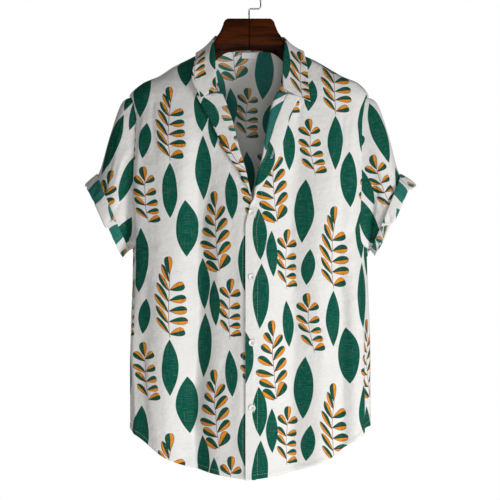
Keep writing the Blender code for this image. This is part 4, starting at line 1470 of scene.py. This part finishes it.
BUTTON_RADIUS, BUTTON_THICK, BUTTON_DISH, BUTTON_GAP = 5.75, 2.4, 0.7, 0.5
BUTTON_FOOT = WALL / 2 + BUTTON_GAP
BUTTON_STEPS, HOLE_STEPS = 48, 16
# Half of the button's section. columns: distance from its middle, height
BUTTON_PROFILE = (
    (0.0, 1.7),
    (3.41, 1.7),
    (3.995, 2.05),
    (4.45, 2.3),
    (4.97, 2.4),
    (5.45, 2.1),
    (5.75, 1.44),
    (5.5, 0.6),
    (4.85, 0.0),
    (0.0, 0.0),
)
HOLE_RADIUS, HOLE_OFF, DRILL_MIDDLE, DRILL_LONG = 0.75, 1.35, 1.5, 8.0
SLIVER = 0.02 * MM
STRAND_APART, STRAND_LIFT = 0.32, 0.05
BAR_HALF_SIZES = (1.75, 0.17, 0.25, 1.0)


def shift(x, y, z):
    return Matrix.Translation(Vector((x, y, z)) * MM)


def button_seat(x, z):
    """The matrix that lays a button on the left front."""
    at = np.array([x]), np.array([float(z)])
    angle = body_angle(*at)
    skin = body_point(angle, at[1], FRONT_LAP)[0]
    turn = BUTTON_RADIUS / ROUND_A_DEGREE
    ends = [body_point(angle + side * turn, at[1], FRONT_LAP)[0] for side in (-1, 1)]
    above = body_point(angle, at[1] + BUTTON_RADIUS, FRONT_LAP)[0]
    outward = Vector(ends[1] - ends[0]).cross(Vector(above - skin))
    facing = outward.to_track_quat("Z", "Y").to_matrix().to_4x4()
    return shift(*skin) @ facing


def turned_button(work, seat):
    line = [work.verts.new(Vector((r, 0, BUTTON_FOOT + h)) * MM) for r, h in BUTTON_PROFILE]
    edges = [work.edges.new(pair) for pair in zip(line, line[1:])]
    bmesh.ops.spin(
        work, geom=line + edges, cent=(0, 0, 0), axis=(0, 0, 1), angle=2 * math.pi,
        steps=BUTTON_STEPS, use_merge=True,
    )
    bmesh.ops.remove_doubles(work, verts=work.verts, dist=WELD)
    bmesh.ops.recalc_face_normals(work, faces=work.faces)
    bmesh.ops.transform(work, matrix=seat, verts=work.verts)


def drill(piece, seat):
    """Cuts the four holes, and clears away the slivers this leaves."""
    work = bmesh.new()
    for turn in range(4):
        a = math.radians(45 + 90 * turn)
        place = seat @ shift(HOLE_OFF * math.cos(a), HOLE_OFF * math.sin(a), DRILL_MIDDLE)
        bmesh.ops.create_cone(
            work, cap_ends=True, segments=HOLE_STEPS, radius1=HOLE_RADIUS * MM,
            radius2=HOLE_RADIUS * MM, depth=DRILL_LONG * MM, matrix=place,
        )
    cutter = link_object("drill", mesh_from("drill", work))
    cut = piece.modifiers.new("holes", "BOOLEAN")
    cut.operation, cut.solver, cut.object = "DIFFERENCE", "EXACT", cutter
    depsgraph = bpy.context.evaluated_depsgraph_get()
    drilled = bpy.data.meshes.new_from_object(piece.evaluated_get(depsgraph))
    piece.modifiers.remove(cut)
    bpy.data.objects.remove(cutter)
    work = bmesh.new()
    work.from_mesh(drilled)
    bmesh.ops.dissolve_degenerate(work, dist=SLIVER, edges=work.edges)
    work.to_mesh(drilled)
    work.free()
    piece.data = drilled


def button_thread(work, seat):
    """Two crossed bars of thread in the dish, each three strands wide."""
    top = BUTTON_FOOT + BUTTON_THICK - BUTTON_DISH + STRAND_LIFT
    for turn in (45, 135):
        for strand in (-STRAND_APART, 0.0, STRAND_APART):
            bar = seat @ Matrix.Rotation(math.radians(turn), 4, "Z") @ shift(0, strand, top)
            bar = bar @ Matrix.Diagonal(BAR_HALF_SIZES)
            bmesh.ops.create_icosphere(work, subdivisions=2, radius=MM, matrix=bar)


pearl, pearl_shader = mottled(
    "pearl button", (0.80, 0.79, 0.76), (0.70, 0.70, 0.69), (0.86, 0.85, 0.82), 210.0, 0.22, 2.0,
)
feed_named(pearl_shader, {"Coat Weight": 0.5, "Coat Roughness": 0.1})
white_thread, _ = mottled(
    "white thread", (0.74, 0.73, 0.70), (0.62, 0.61, 0.58), (0.82, 0.81, 0.78), 1800.0, 0.7,
)
threads = bmesh.new()
for number, (button_x, button_z) in enumerate(BUTTON_PLACES, 1):
    button_work = bmesh.new()
    placed = button_seat(button_x, button_z)
    turned_button(button_work, placed)
    button = make_piece(f"shirt_button_{number}", button_work, pearl)
    drill(button, placed)
    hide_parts(f"button_{number}")
    button_thread(threads, placed)
make_piece("button_threads", threads, white_thread)

# ------------------------ floor, light and camera
# A pale round floor far below the hanging shirt, a large soft light from the right, a
# weaker one in front, one behind for the back, and white air all round.

MIDDLE = Vector((0.0017, 0.0, -0.4505))
FLOOR_RADIUS, FLOOR_Z = 2.0, -1.9
SHOWN_WIDE, LENS, FILM = 0.85, 200.0, 36.0

floor_work = bmesh.new()
bmesh.ops.create_circle(
    floor_work, cap_ends=True, segments=96, radius=FLOOR_RADIUS,
    matrix=Matrix.Translation((0, 0, FLOOR_Z)),
)
floor = link_object("floor", mesh_from("floor", floor_work))
pale, pale_shader, _ = new_material("pale floor", (0.86, 0.86, 0.86))
glow = {"Roughness": 0.9, "Emission Color": (1, 1, 1), "Emission Strength": 0.25}
feed_named(pale_shader, glow)
floor.data.materials.append(pale)


def soft_light(name, place, size, power_w):
    data = bpy.data.lights.new(name, "AREA")
    data.shape, data.size, data.energy = "SQUARE", size, power_w
    lamp = link_object(name, data)
    lamp.location = place
    lamp.rotation_euler = (MIDDLE - Vector(place)).to_track_quat("-Z", "Y").to_euler()


soft_light("key softbox", (1.9, -2.1, -1.2), 1.1, 56)
soft_light("front softbox", (0.2, -3.4, -0.8), 1.2, 22)
soft_light("back softbox", (-0.9, 2.9, -0.3), 1.4, 66)

air = bpy.data.worlds.new("white studio air")
bpy.context.scene.world = air
air.use_nodes = True
seen = add_node(air.node_tree, "ShaderNodeLightPath")[0]
brightness = blend("FLOAT", seen, 0.21, 1.0)
feed_named(air.node_tree.nodes["Background"], {"Color": (1, 1, 1), "Strength": brightness})
bpy.context.scene.view_settings.view_transform = "Standard"

camera_data = bpy.data.cameras.new("camera")
camera_data.lens = LENS
camera = link_object("camera", camera_data)
camera.location = MIDDLE + Vector((0, -SHOWN_WIDE * LENS / FILM, 0))
camera.rotation_euler = (math.radians(90), 0, 0)
bpy.context.scene.camera = camera
